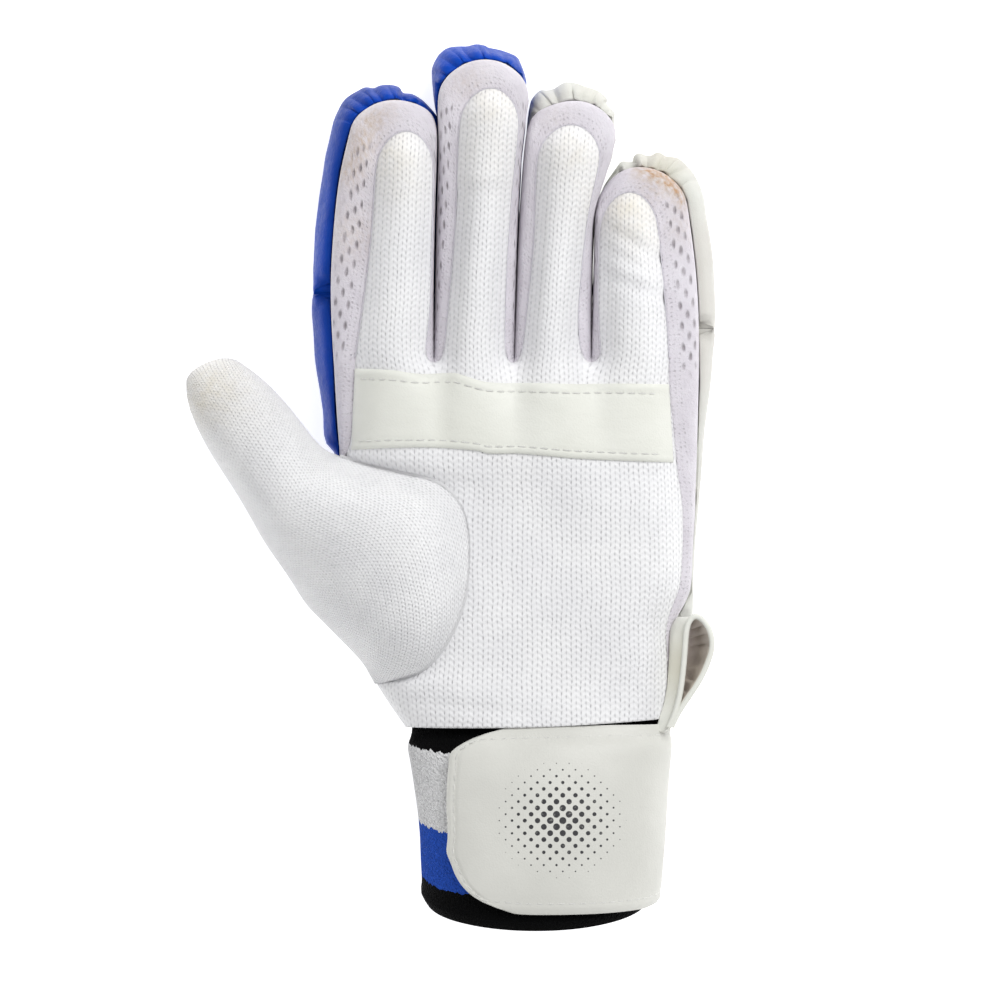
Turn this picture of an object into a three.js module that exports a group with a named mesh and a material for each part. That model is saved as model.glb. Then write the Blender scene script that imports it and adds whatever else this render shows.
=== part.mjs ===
// A padded batting glove for the left hand. It lies on its padded back with the palm up.
// Millimetres. X runs across the palm, Y towards the fingertips, Z out of the palm.

import * as THREE from 'three';

// Overall sizes of the hand

const palm = { width: 100, length: 107, height: 30 };
const thumb = { length: 48.7, padThickness: 8, padGap: 0.5, padEdge: 0.6 };
const knitWall = 1.8;
const gap = 0.4;

// The flat back sheet and the foam rolls under it

const sheet = { thickness: 1.8 };
const roll = { height: 15.9, foot: 1.6, round: 0.35, gather: 0.7, lip: 3.2, lipGap: 0.6, lipFrom: 1.3 };
const backLevel = roll.height + gap + sheet.thickness;
const skinLevel = backLevel + gap;

// Fingers. Offsets are shares of the finger's width, measured from a straight line that leans
// by lean millimetres for each millimetre of length. slit is the space to the finger before.

const fingers = {
  index: {
    length: 74.9, width: 25.5, lean: 0.046, slit: 0, crown: 9,
    tips: { seam: [0.762, 0.882], edge: [0.859, 1.0], pad: [0.917, 1.057] }, fold: 0.24,
    // along, seamLeft, seamRight, edgeLeft, edgeRight, padLeft, padRight
    rows: [
      [0.00, -0.420, 0.364, -0.659, 0.443, -0.869, 0.466],
      [0.10, -0.388, 0.404, -0.689, 0.440, -0.886, 0.457],
      [0.22, -0.353, 0.409, -0.726, 0.436, -0.921, 0.447],
      [0.35, -0.321, 0.401, -0.738, 0.425, -0.945, 0.434],
      [0.50, -0.290, 0.391, -0.724, 0.413, -0.931, 0.420],
      [0.65, -0.291, 0.380, -0.709, 0.408, -0.892, 0.417],
      [0.78, -0.283, 0.365, -0.662, 0.403, -0.863, 0.412],
      [0.86, -0.293, 0.354, -0.600, 0.400, -0.814, 0.404],
      [0.92, -0.300, 0.340, -0.590, 0.390, -0.784, 0.394],
    ],
  },
  middle: {
    length: 86.7, width: 27.0, lean: 0.047, slit: 1.7, crown: 10,
    tips: { seam: [0.809, 0.906], edge: [0.860, 1.0], pad: [0.926, 1.048] }, fold: 0.224,
    rows: [
      [0.00, -0.333, 0.323, -0.409, 0.409, -0.419, 0.419],
      [0.10, -0.370, 0.358, -0.424, 0.400, -0.429, 0.411],
      [0.22, -0.368, 0.359, -0.441, 0.392, -0.441, 0.403],
      [0.35, -0.349, 0.360, -0.455, 0.387, -0.455, 0.398],
      [0.50, -0.334, 0.357, -0.472, 0.384, -0.471, 0.395],
      [0.65, -0.323, 0.355, -0.479, 0.386, -0.470, 0.394],
      [0.78, -0.290, 0.365, -0.500, 0.408, -0.497, 0.412],
      [0.86, -0.280, 0.360, -0.530, 0.451, -0.552, 0.414],
      [0.93, -0.290, 0.350, -0.530, 0.440, -0.590, 0.402],
    ],
  },
  ring: {
    length: 74.7, width: 26.4, lean: 0.078, slit: 0.8, crown: 9,
    tips: { seam: [0.804, 0.909], edge: [0.843, 1.0], pad: [0.928, 1.066] }, fold: 0.221,
    rows: [
      [0.00, -0.341, 0.319, -0.401, 0.396, -0.390, 0.418],
      [0.10, -0.374, 0.348, -0.414, 0.385, -0.403, 0.403],
      [0.22, -0.367, 0.340, -0.430, 0.369, -0.419, 0.386],
      [0.35, -0.345, 0.322, -0.448, 0.352, -0.437, 0.363],
      [0.50, -0.331, 0.298, -0.464, 0.324, -0.453, 0.341],
      [0.60, -0.333, 0.288, -0.468, 0.313, -0.460, 0.341],
      [0.65, -0.335, 0.310, -0.470, 0.350, -0.463, 0.363],
      [0.70, -0.337, 0.345, -0.473, 0.425, -0.465, 0.407],
      [0.78, -0.339, 0.370, -0.479, 0.521, -0.467, 0.477],
      [0.86, -0.343, 0.360, -0.470, 0.516, -0.463, 0.486],
      [0.93, -0.350, 0.350, -0.470, 0.510, -0.460, 0.470],
    ],
  },
  little: {
    length: 55.4, width: 26.7, lean: 0.016, slit: 1.7, crown: 9,
    tips: { seam: [0.691, 0.874], edge: [0.743, 1.0], pad: [0.822, 1.068] }, fold: 0.136,
    rows: [
      [0.00, -0.348, 0.391, -0.424, 0.707, -0.440, 0.864],
      [0.10, -0.370, 0.376, -0.429, 0.703, -0.440, 0.876],
      [0.22, -0.386, 0.355, -0.435, 0.699, -0.439, 0.882],
      [0.35, -0.395, 0.325, -0.439, 0.679, -0.432, 0.869],
      [0.50, -0.394, 0.296, -0.437, 0.649, -0.412, 0.842],
      [0.65, -0.392, 0.253, -0.437, 0.605, -0.394, 0.806],
      [0.78, -0.395, 0.235, -0.438, 0.562, -0.379, 0.752],
      [0.86, -0.398, 0.233, -0.438, 0.559, -0.376, 0.733],
      [0.92, -0.400, 0.230, -0.438, 0.556, -0.376, 0.730],
    ],
  },
};
const indexRoot = -0.348;
const fingerCells = 4;
const bodyRows = 6;
const capRows = 2;
const capAngle = 35;
const seamLevel = 0.55;
const tipSeamLevel = 0.42;

// Palm rows from the finger roots to the wrist. Places across are shares of the palm's width,
// places down are shares of its length, and heights are shares of its height over the sheet.
// seamLeft x and y, seamRight x and y, backLeft x and y, edgeRight x, left, right, top, sag

const palmRows = [
  [-0.455, 0.030, 0.455, 0.073, -0.515, 0.030, 0.541, 0.55, 0.55, 0.93, 0.011],
  [-0.463, 0.144, 0.467, 0.182, -0.509, 0.144, 0.538, 0.52, 0.55, 0.95, 0.000],
  [-0.465, 0.247, 0.478, 0.285, -0.500, 0.247, 0.535, 0.48, 0.55, 0.95, -0.003],
  [-0.496, 0.271, 0.481, 0.314, -0.499, 0.271, 0.534, 0.42, 0.55, 0.94, 0.000],
  [-0.406, 0.295, 0.487, 0.350, -0.496, 0.323, 0.532, 0.62, 0.55, 0.93, 0.000],
  [-0.296, 0.317, 0.493, 0.385, -0.490, 0.374, 0.531, 0.75, 0.55, 0.92, 0.000],
  [-0.215, 0.333, 0.496, 0.420, -0.484, 0.426, 0.531, 0.82, 0.55, 0.92, 0.000],
  [-0.157, 0.379, 0.496, 0.458, -0.478, 0.477, 0.528, 0.85, 0.55, 0.91, 0.000],
  [-0.125, 0.442, 0.496, 0.501, -0.473, 0.529, 0.525, 0.85, 0.55, 0.90, 0.000],
  [-0.119, 0.529, 0.493, 0.556, -0.465, 0.580, 0.522, 0.85, 0.55, 0.90, 0.000],
  [-0.128, 0.640, 0.490, 0.626, -0.457, 0.631, 0.521, 0.85, 0.55, 0.91, 0.000],
  [-0.157, 0.721, 0.464, 0.675, -0.447, 0.683, 0.499, 0.84, 0.55, 0.92, 0.000],
  [-0.206, 0.805, 0.444, 0.734, -0.435, 0.734, 0.457, 0.80, 0.55, 0.92, 0.000],
  [-0.267, 0.859, 0.438, 0.789, -0.422, 0.786, 0.451, 0.72, 0.56, 0.92, 0.000],
  [-0.333, 0.878, 0.435, 0.840, -0.406, 0.837, 0.448, 0.60, 0.56, 0.92, 0.000],
  [-0.400, 0.886, 0.429, 0.884, -0.389, 0.886, 0.439, 0.46, 0.58, 0.92, 0.000],
  [-0.357, 0.946, 0.420, 0.935, -0.351, 0.946, 0.428, 0.46, 0.60, 0.93, 0.008],
  [-0.313, 1.003, 0.415, 0.978, -0.307, 1.003, 0.420, 0.46, 0.60, 0.95, 0.011],
];
const patchRows = [0, 2];
const crotchRow = 3;
const thenarEndRow = 14;
const cornerRow = 15;
const valleyFade = [1, 0.5, 0.2];
const valleys = { finger: 0.08, slit: 0.11 };
const ovalRows = 3;

// Thumb rows from its tip to the crotch, as shares of the thumb's length from the middle of its
// root, then the outer edge of the thenar as shares of the palm. Heights are shares of the
// palm's height: left edge, right edge, crest and underside.
// left x and y, right x and y, leftLevel, rightLevel, crest, underside

const thumbRoot = [-0.6206, 0.3822];
const thumbRows = [
  [-0.667, 0.714, -0.393, 0.839, 0.60, 0.60, 0.60, 0.60],
  [-0.696, 0.625, -0.250, 0.774, 0.60, 0.60, 0.95, 0.27],
  [-0.673, 0.494, -0.119, 0.667, 0.58, 0.58, 1.07, 0.20],
  [-0.583, 0.298, 0.000, 0.536, 0.55, 0.55, 1.10, 0.18],
  [-0.476, 0.131, 0.101, 0.399, 0.50, 0.52, 1.12, 0.14],
  [-0.357, -0.054, 0.214, 0.268, 0.47, 0.47, 1.15, 0.10],
];
const thumbTipBulge = 0.1;
// left x and y, leftLevel, crest
const thenarRows = [
  [-0.745, 0.496, 0.45, 1.20],
  [-0.708, 0.550, 0.43, 1.22],
  [-0.670, 0.599, 0.42, 1.25],
  [-0.641, 0.642, 0.40, 1.28],
  [-0.615, 0.680, 0.40, 1.30],
  [-0.586, 0.707, 0.40, 1.30],
  [-0.554, 0.732, 0.40, 1.28],
  [-0.519, 0.762, 0.40, 1.24],
  [-0.481, 0.794, 0.40, 1.16],
  [-0.452, 0.824, 0.40, 1.02],
  [-0.426, 0.851, 0.42, 0.82],
];
const thumbFrontCells = 6;
const thumbBackCells = 6;
const thumbPadRows = [[0, 3], [3, 6]];

// Rolls on the back of the hand, below the fingers' own rolls. Shares of the palm.
// down, left, right

const handRolls = {
  index: [
    [-0.154, -0.580, -0.226], [0.000, -0.570, -0.229], [0.144, -0.547, -0.229],
    [0.225, -0.539, -0.231], [0.266, -0.507, -0.232], [0.442, -0.481, -0.235],
    [0.686, -0.449, -0.238],
  ],
  middle: [
    [-0.168, -0.216, 0.006], [0.000, -0.220, 0.006], [0.252, -0.223, 0.000],
    [0.686, -0.226, -0.012],
  ],
  ring: [
    [-0.141, 0.017, 0.229], [0.000, 0.014, 0.226], [0.252, 0.009, 0.232],
    [0.686, 0.000, 0.226],
  ],
  little: [
    [-0.057, 0.235, 0.586], [0.000, 0.235, 0.581], [0.081, 0.236, 0.574],
    [0.171, 0.238, 0.560], [0.252, 0.241, 0.551], [0.347, 0.241, 0.545],
    [0.463, 0.241, 0.534], [0.553, 0.241, 0.528], [0.686, 0.241, 0.522],
  ],
};
const foldGap = 1.2;

// Wrist tube, strap and side loop. Cuff rows: down as a share of the cuff's length below the
// palm, left and right as shares of the palm's width, bottom and top as shares of the cuff's
// depth over the floor.

const cuff = { length: 48.2, wall: 2.6, depth: 45, floor: 8, tilt: 0.38, sides: 32 };
// down, left, right, bottom, top
const cuffRows = [
  [-0.090, -0.289, 0.397, 0.238, 0.800],
  [0.045, -0.291, 0.402, 0.238, 0.804],
  [0.120, -0.301, 0.431, 0.156, 0.868],
  [0.250, -0.292, 0.426, 0.090, 0.910],
  [0.450, -0.279, 0.419, 0.045, 0.940],
  [0.700, -0.266, 0.411, 0.015, 0.972],
  [1.200, -0.255, 0.392, 0.000, 1.000],
];
const strap = { thickness: 2.8, clearance: 0.75, start: 137, end: -112, sections: 26, step: 0.01 };
// turn as a share of the way round, top and bottom as shares of the cuff's length
const strapRows = [
  [0.000, 0.480, 0.620],
  [0.012, 0.260, 0.830],
  [0.040, 0.120, 0.950],
  [0.090, 0.050, 1.020],
  [0.160, 0.030, 1.070],
  [0.300, 0.012, 1.110],
  [0.450, 0.000, 1.090],
  [0.560, -0.020, 1.050],
  [1.000, 0.060, 1.000],
];
const loop = { depth: 20, level: 21, length: 30, width: 14.6 };
// places as shares of the loop's width and length, from its lower left corner
const loopOutline = [
  [0.00, 0.00], [0.04, 0.15], [0.11, 0.29], [0.15, 0.57], [0.15, 0.78], [0.18, 0.88],
  [0.27, 0.93], [0.44, 0.98], [0.59, 1.00], [0.75, 0.97], [0.89, 0.89], [0.99, 0.74],
  [0.99, 0.68], [0.93, 0.55], [0.84, 0.41], [0.69, 0.31], [0.51, 0.21], [0.36, 0.10],
  [0.25, 0.00],
];
const loopOpening = [
  [0.45, 0.90], [0.44, 0.74], [0.41, 0.58], [0.35, 0.40], [0.31, 0.26], [0.41, 0.28],
  [0.63, 0.41], [0.77, 0.54], [0.84, 0.66], [0.84, 0.76], [0.77, 0.85], [0.63, 0.91],
];
const patch = { thickness: 1.2, clearance: 0.5 };

// Materials

const finishes = {
  knit: new THREE.MeshStandardMaterial({ color: '#efefef', roughness: 0.95, metalness: 0 }),
  mesh: new THREE.MeshStandardMaterial({ color: '#dedbe2', roughness: 0.9, metalness: 0 }),
  whiteCoated: new THREE.MeshStandardMaterial({ color: '#e6e7df', roughness: 0.5, metalness: 0 }),
  blueCoated: new THREE.MeshStandardMaterial({ color: '#2347a8', roughness: 0.4, metalness: 0 }),
  towelling: new THREE.MeshStandardMaterial({ color: '#2b50b4', roughness: 1, metalness: 0 }),
};

// Helpers

const lerp = THREE.MathUtils.lerp;
const clamp = THREE.MathUtils.clamp;
const rad = THREE.MathUtils.degToRad;

/** Interpolates every column of a table whose first column rises. */
function sample(rows, at) {
  const last = rows.length - 1;
  let low = 0;
  while (low < last - 1 && rows[low + 1][0] < at) low += 1;
  const [a, b] = [rows[low], rows[low + 1]];
  const share = clamp((at - a[0]) / (b[0] - a[0]), 0, 1);
  return a.map((value, column) => lerp(value, b[column], share));
}

function dome(v) {
  return Math.sqrt(Math.max(0, 1 - v * v));
}

/** Turns triangles over shared points into a geometry with its own normals. */
function toGeometry(points, triangles) {
  const geometry = new THREE.BufferGeometry();
  const flat = points.flatMap((p) => [p.x, p.y, p.z]);
  geometry.setAttribute('position', new THREE.Float32BufferAttribute(flat, 3));
  geometry.setIndex(triangles.flat());
  geometry.computeVertexNormals();
  return geometry;
}

/** Stacks closed outlines with equal point counts, lowest first, and caps both ends. */
function stack(levels) {
  const count = levels[0].length;
  const points = levels.flat();
  const triangles = [];
  for (let level = 0; level < levels.length - 1; level += 1) {
    for (let i = 0; i < count; i += 1) {
      const [a, b] = [level * count + i, level * count + ((i + 1) % count)];
      triangles.push([a, b, b + count], [a, b + count, a + count]);
    }
  }
  const top = (levels.length - 1) * count;
  for (const [offset, outline, flip] of [[0, levels[0], true], [top, levels.at(-1), false]]) {
    const flat = outline.map((p) => new THREE.Vector2(p.x, p.y));
    for (const [a, b, c] of THREE.ShapeUtils.triangulateShape(flat, [])) {
      triangles.push(flip ? [offset + a, offset + c, offset + b] : [offset + a, offset + b, offset + c]);
    }
  }
  return toGeometry(points, triangles);
}

/** Moves each point of a closed counter-clockwise outline outwards, or inwards below 0. */
function grow(outline, distance) {
  const count = outline.length;
  return outline.map((point, i) => {
    const before = outline[(i + count - 1) % count];
    const after = outline[(i + 1) % count];
    const along = after.clone().sub(before).normalize();
    return new THREE.Vector3(point.x + along.y * distance, point.y - along.x * distance, point.z);
  });
}

function atLevel(outline, z) {
  return outline.map((p) => new THREE.Vector3(p.x, p.y, z));
}

// The skin: one field of shared points, cut into pieces along its seams

class Skin {
  constructor() {
    this.points = [];
    this.pieces = new Map();
    this.upright = new Set();
  }

  add(x, y, z) {
    this.points.push(new THREE.Vector3(x, y, z));
    return this.points.length - 1;
  }

  quad(piece, a, b, c, d) {
    if (!this.pieces.has(piece)) this.pieces.set(piece, []);
    this.pieces.get(piece).push([a, b, c, d]);
  }

  /** Joins two rows of points. The first row is on the left when seen along the rows. */
  strip(piece, rowA, rowB) {
    for (let i = 0; i < rowA.length - 1; i += 1) {
      if (rowA[i] === rowB[i]) this.quad(piece, rowA[i], rowA[i + 1], rowB[i + 1], rowB[i + 1]);
      else if (rowA[i + 1] === rowB[i + 1]) this.quad(piece, rowA[i], rowA[i + 1], rowB[i], rowB[i]);
      else this.quad(piece, rowA[i], rowA[i + 1], rowB[i + 1], rowB[i]);
    }
  }

  normals() {
    const sums = this.points.map(() => new THREE.Vector3());
    for (const quads of this.pieces.values()) {
      for (const quad of quads) {
        const [a, b, c, d] = quad.map((i) => this.points[i]);
        const normal = c.clone().sub(a).cross(d.clone().sub(b));
        new Set(quad).forEach((i) => sums[i].add(normal));
      }
    }
    sums.forEach((sum, i) => {
      if (this.upright.has(i)) sum.z = 0;
      sum.normalize();
    });
    return sums;
  }

  /** Gives a piece its wall: one side raised by rise, the other side lower by wall. */
  solid(quads, normals, wall, rise = 0, thickness = () => 1) {
    const faces = quads.map((quad) => [...new Set(quad)]);
    const edges = new Map();
    for (const face of faces) {
      face.forEach((a, i) => edges.set(`${a},${face[(i + 1) % face.length]}`, [a, face[(i + 1) % face.length]]));
    }
    const rim = [...edges.values()].filter(([a, b]) => !edges.has(`${b},${a}`));
    const pull = new Map(rim.map(([a]) => [a, new THREE.Vector3()]));
    for (const face of faces) {
      const centre = new THREE.Vector3();
      face.forEach((i) => centre.addScaledVector(this.points[i], 1 / face.length));
      for (const i of face) if (pull.has(i)) pull.get(i).add(centre.clone().sub(this.points[i]));
    }
    const used = [...new Set(faces.flat())];
    const slot = new Map(used.map((i, place) => [i, place]));
    const outer = used.map((i) => {
      const point = this.points[i].clone();
      if (pull.has(i)) point.addScaledVector(pull.get(i).normalize(), gap / 2);
      return point.addScaledVector(normals[i], rise);
    });
    const inner = used.map((i, place) => (
      outer[place].clone().addScaledVector(normals[i], -wall * thickness(i))
    ));
    const count = used.length;
    const triangles = [];
    const fan = (corners) => {
      for (let i = 1; i < corners.length - 1; i += 1) {
        triangles.push([corners[0], corners[i], corners[i + 1]]);
      }
    };
    for (const face of faces) {
      fan(face.map((i) => slot.get(i)));
      fan(face.map((i) => slot.get(i) + count).reverse());
    }
    for (const [a, b] of rim) {
      fan([slot.get(a), slot.get(a) + count, slot.get(b) + count, slot.get(b)]);
    }
    if (wall < 0) triangles.forEach((triangle) => triangle.reverse());
    return toGeometry([...outer, ...inner], triangles);
  }
}

// Fingers as lobes: rows across a body, then a round cap

const fingerNames = Object.keys(fingers);

/** Works out each root from the finger before it, so that the slits keep their width. */
function placeRoots() {
  let root = indexRoot * palm.width;
  fingerNames.forEach((name, i) => {
    const finger = fingers[name];
    if (i > 0) {
      const before = fingers[fingerNames[i - 1]];
      root += before.rows[0][4] * before.width + finger.slit - finger.rows[0][3] * finger.width;
    }
    finger.root = root;
  });
}

const lobeColumns = { seam: [1, 2], edge: [3, 4], pad: [5, 6] };

/** Left and right ends of a lobe at a share of the finger's length. */
function lobeSides(finger, kind, along) {
  const row = sample(finger.rows, along);
  const [left, right] = lobeColumns[kind].map((column) => row[column] * finger.width);
  const middle = finger.root + finger.lean * along * finger.length;
  return { left: middle + left, right: middle + right, y: along * finger.length };
}

/** A row of points across a lobe. cap runs from 0 at the cap's start to 1 at its last row. */
function lobeRow(finger, kind, along, cap, cells) {
  const [start, tip] = finger.tips[kind];
  const sides = lobeSides(finger, kind, cap > 0 ? start : along);
  const middle = (sides.left + sides.right) / 2;
  const half = (sides.right - sides.left) / 2;
  const rise = (tip - start) * finger.length;
  const turn = rad(capAngle * cap);
  const points = [];
  for (let cell = 0; cell <= cells; cell += 1) {
    const v = (2 * cell) / cells - 1;
    const angle = v * (Math.PI / 2 - turn);
    const x = lerp(v, Math.sin(angle), cap);
    const y = lerp(Math.sin(turn), Math.cos(angle), cap);
    const wide = cap > 0 ? lerp(Math.cos(turn), 1, cap) : 1;
    points.push(new THREE.Vector2(
      middle + half * x * wide + finger.lean * rise * y,
      sides.y + rise * y,
    ));
  }
  return points;
}

function lobeRows(finger, kind, cells) {
  const [start] = finger.tips[kind];
  const rows = [];
  for (let i = 1; i <= bodyRows; i += 1) rows.push([(start * i) / bodyRows, 0]);
  for (let i = 1; i <= capRows; i += 1) rows.push([start, i / capRows]);
  return rows.map(([along, cap]) => ({ cap, points: lobeRow(finger, kind, along, cap, cells) }));
}

placeRoots();

const skin = new Skin();
const level = (share) => backLevel + share * palm.height;

// Front of the palm and of the fingers

const wristRow = palmRows.at(-1);
const wristOval = {
  middle: ((wristRow[0] + wristRow[2]) / 2) * palm.width,
  half: ((wristRow[2] - wristRow[0]) / 2 + 0.008) * palm.width,
  base: wristRow[7],
  rise: wristRow[9] - wristRow[7],
};

/** The places across the palm's first row: each finger's points with one point in each slit. */
function rootRow() {
  const places = [];
  fingerNames.forEach((name, order) => {
    const finger = fingers[name];
    if (order > 0) {
      const before = places.at(-1).x;
      const after = lobeSides(finger, 'seam', 0).left;
      const slitLevel = seamLevel - 0.02;
      places.push({ x: (before + after) / 2, y: -2, level: slitLevel, valley: valleys.slit, slit: order });
    }
    const { left, right } = lobeSides(finger, 'seam', 0);
    for (let cell = 0; cell <= fingerCells; cell += 1) {
      const v = (2 * cell) / fingerCells - 1;
      const height = seamLevel + (dome(v) * finger.crown) / palm.height;
      const valley = valleys.finger * v * v;
      places.push({ x: lerp(left, right, cell / fingerCells), y: 0, level: height, valley, name });
    }
  });
  return places;
}

const root = rootRow();
const rootLeft = root[0].x;
const rootWidth = root.at(-1).x - rootLeft;
const rootIds = root.map((place) => skin.add(place.x, place.y, level(place.level)));

const palmIds = palmRows.map((row, order) => {
  const [leftX, leftY, rightX, rightY, , , , leftLevel, rightLevel, top, sag] = row;
  return root.map((place) => {
    const share = (place.x - rootLeft) / rootWidth;
    const v = 2 * share - 1;
    const x = lerp(leftX, rightX, share) * palm.width;
    const down = lerp(leftY, rightY, share) + sag * dome(v) ** 2;
    const edge = lerp(leftLevel, rightLevel, share);
    const flank = 1 - Math.abs(v) ** 3;
    let height = edge + (top - edge) * flank ** 0.6 - place.valley * flank * (valleyFade[order] ?? 0);
    const towards = (order - (palmRows.length - 1 - ovalRows)) / ovalRows;
    if (towards > 0) {
      const across = (lerp(wristRow[0], wristRow[2], share) * palm.width - wristOval.middle) / wristOval.half;
      height = lerp(height, wristOval.base + wristOval.rise * dome(across), towards);
    }
    return skin.add(x, -down * palm.length, level(height));
  });
});

skin.strip('palm_knit', palmIds[0], rootIds);
for (let i = 1; i < palmIds.length; i += 1) skin.strip('palm_knit', palmIds[i], palmIds[i - 1]);

// Finger fronts, and the seam line all round each finger

const seamLines = {};
for (const name of fingerNames) {
  const finger = fingers[name];
  const first = root.findIndex((place) => place.name === name);
  let below = rootIds.slice(first, first + fingerCells + 1);
  const left = [below[0]];
  const right = [below[fingerCells]];
  for (const [order, { cap, points }] of lobeRows(finger, 'seam', fingerCells).entries()) {
    const along = (order + 1) / (bodyRows + capRows);
    const edge = lerp(seamLevel, tipSeamLevel, along ** 2);
    const row = points.map((point, cell) => {
      const v = (2 * cell) / fingerCells - 1;
      const height = edge + (dome(v) * dome(cap) * finger.crown) / palm.height;
      return skin.add(point.x, point.y, level(height));
    });
    skin.strip('palm_knit', below, row);
    below = row;
    left.push(row[0]);
    right.push(row[fingerCells]);
  }
  seamLines[name] = [...left, ...below.slice(1, -1), ...right.reverse()];
}

// Mesh gussets from the seam line down to the back sheet

const edgeLines = {};
for (const name of fingerNames) {
  const finger = fingers[name];
  const rows = [{ points: lobeRow(finger, 'edge', 0, 0, fingerCells) }, ...lobeRows(finger, 'edge', fingerCells)];
  const left = rows.map(({ points }) => points[0]);
  const right = rows.map(({ points }) => points[fingerCells]).reverse();
  edgeLines[name] = [...left, ...rows.at(-1).points.slice(1, -1), ...right];
}

/** Adds a point half way down the gusset and one at its foot, for one point of the seam. */
function gussetColumn(seamId, foot, bulge = 1) {
  const top = skin.points[seamId];
  const out = new THREE.Vector2(foot.x - top.x, foot.y - top.y);
  if (out.length() > 0) out.normalize();
  const middle = skin.add(
    lerp(top.x, foot.x, 0.6) + out.x * bulge,
    lerp(top.y, foot.y, 0.6) + out.y * bulge,
    lerp(top.z, skinLevel, 0.5),
  );
  const base = skin.add(foot.x, foot.y, skinLevel);
  skin.upright.add(base);
  return [seamId, middle, base];
}

const slitColumns = {};
root.forEach((place, i) => {
  if (!place.slit) return;
  const after = edgeLines[fingerNames[place.slit]][0];
  const before = edgeLines[fingerNames[place.slit - 1]].at(-1);
  const foot = new THREE.Vector2((after.x + before.x) / 2, place.y + 1.4);
  slitColumns[place.slit] = gussetColumn(rootIds[i], foot, 0);
});

const leftColumns = palmIds.slice(0, crotchRow + 1).map((ids, i) => (
  gussetColumn(ids[0], new THREE.Vector2(palmRows[i][4] * palm.width, -palmRows[i][5] * palm.length), 0.4)
));
const rightColumns = palmIds.map((ids, i) => (
  gussetColumn(ids.at(-1), new THREE.Vector2(palmRows[i][6] * palm.width, -palmRows[i][3] * palm.length), 0.5)
));

fingerNames.forEach((name, order) => {
  const columns = seamLines[name].map((id, i) => gussetColumn(id, edgeLines[name][i]));
  const before = order === 0 ? leftColumns.toReversed() : [slitColumns[order]];
  const after = order === fingerNames.length - 1 ? rightColumns : [slitColumns[order + 1]];
  const all = [...before, ...columns, ...after];
  for (let i = 1; i < all.length; i += 1) skin.strip(`gusset_${name}`, all[i], all[i - 1]);
});

// Thumb: a closed tube down to the crotch, then a shell between the palm's seam and the sheet

function thumbPoint(x, y) {
  return new THREE.Vector2(
    thumbRoot[0] * palm.width + x * thumb.length,
    -thumbRoot[1] * palm.length + y * thumb.length,
  );
}

const backLeft = palmRows.map((row) => new THREE.Vector2(row[4] * palm.width, -row[5] * palm.length));

function across(left, right, cells, height, ends) {
  const ids = [];
  for (let cell = 0; cell <= cells; cell += 1) {
    const share = cell / cells;
    if (cell === 0 && ends[0] !== null) ids.push(ends[0]);
    else if (cell === cells && ends[1] !== null) ids.push(ends[1]);
    else ids.push(skin.add(lerp(left.x, right.x, share), lerp(left.y, right.y, share), level(height(share))));
  }
  return ids;
}

const thumbFront = [];
const thumbBack = [];
thumbRows.forEach(([lx, ly, rx, ry, leftLevel, rightLevel, crest, under], order) => {
  const [left, right] = [thumbPoint(lx, ly), thumbPoint(rx, ry)];
  const middle = (leftLevel + rightLevel) / 2;
  const front = across(left, right, thumbFrontCells, (share) => (
    lerp(leftLevel, rightLevel, share) + (crest - middle) * dome(2 * share - 1)
  ), [null, null]);
  if (order === 0) {
    const outward = new THREE.Vector2(left.y - right.y, right.x - left.x).normalize();
    front.forEach((id, cell) => {
      const lift = thumbTipBulge * thumb.length * dome((2 * cell) / thumbFrontCells - 1);
      skin.points[id].x += outward.x * lift;
      skin.points[id].y += outward.y * lift;
    });
  }
  const back = across(left, right, thumbBackCells, (share) => (
    lerp(leftLevel, rightLevel, share) - (middle - under) * dome(2 * share - 1)
  ), [front[0], front.at(-1)]);
  thumbFront.push(front);
  thumbBack.push(back);
});
thenarRows.forEach(([lx, ly, leftLevel, crest], order) => {
  const palmRow = crotchRow + order;
  const left = new THREE.Vector2(lx * palm.width, -ly * palm.length);
  const seamId = palmIds[palmRow][0];
  const seam = skin.points[seamId];
  const right = new THREE.Vector2(seam.x, seam.y);
  const rightLevel = palmRows[palmRow][7];
  const middle = (leftLevel + rightLevel) / 2;
  const front = across(left, right, thumbFrontCells, (share) => (
    lerp(leftLevel, rightLevel, share) + (crest - middle) * dome(2 * share - 1)
  ), [null, seamId]);
  thumbFront.push(front);
  const foot = backLeft[palmRow];
  const back = across(left, foot, thumbBackCells, (share) => (
    Math.max((skinLevel - backLevel) / palm.height, leftLevel * (1 - share) ** 3)
  ), [front[0], null]);
  thumbBack.push(back);
});

// The last row of the thumb ends on the palm's lower corner
const cornerId = palmIds[cornerRow][0];
const cornerPoint = skin.points[cornerId];
const endSeam = skin.points[palmIds[thenarEndRow][0]];
const endFront = across(
  new THREE.Vector2(cornerPoint.x, cornerPoint.y),
  new THREE.Vector2(endSeam.x, endSeam.y),
  thumbFrontCells,
  (share) => lerp(palmRows[cornerRow][7], palmRows[thenarEndRow][7], share),
  [cornerId, palmIds[thenarEndRow][0]],
);
const cornerFoot = skin.add(backLeft[cornerRow].x, backLeft[cornerRow].y, skinLevel);
skin.upright.add(cornerFoot);
const endBack = across(
  new THREE.Vector2(cornerPoint.x, cornerPoint.y),
  backLeft[cornerRow],
  thumbBackCells,
  (share) => lerp(palmRows[cornerRow][7], (skinLevel - backLevel) / palm.height, share),
  [cornerId, cornerFoot],
);

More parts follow.
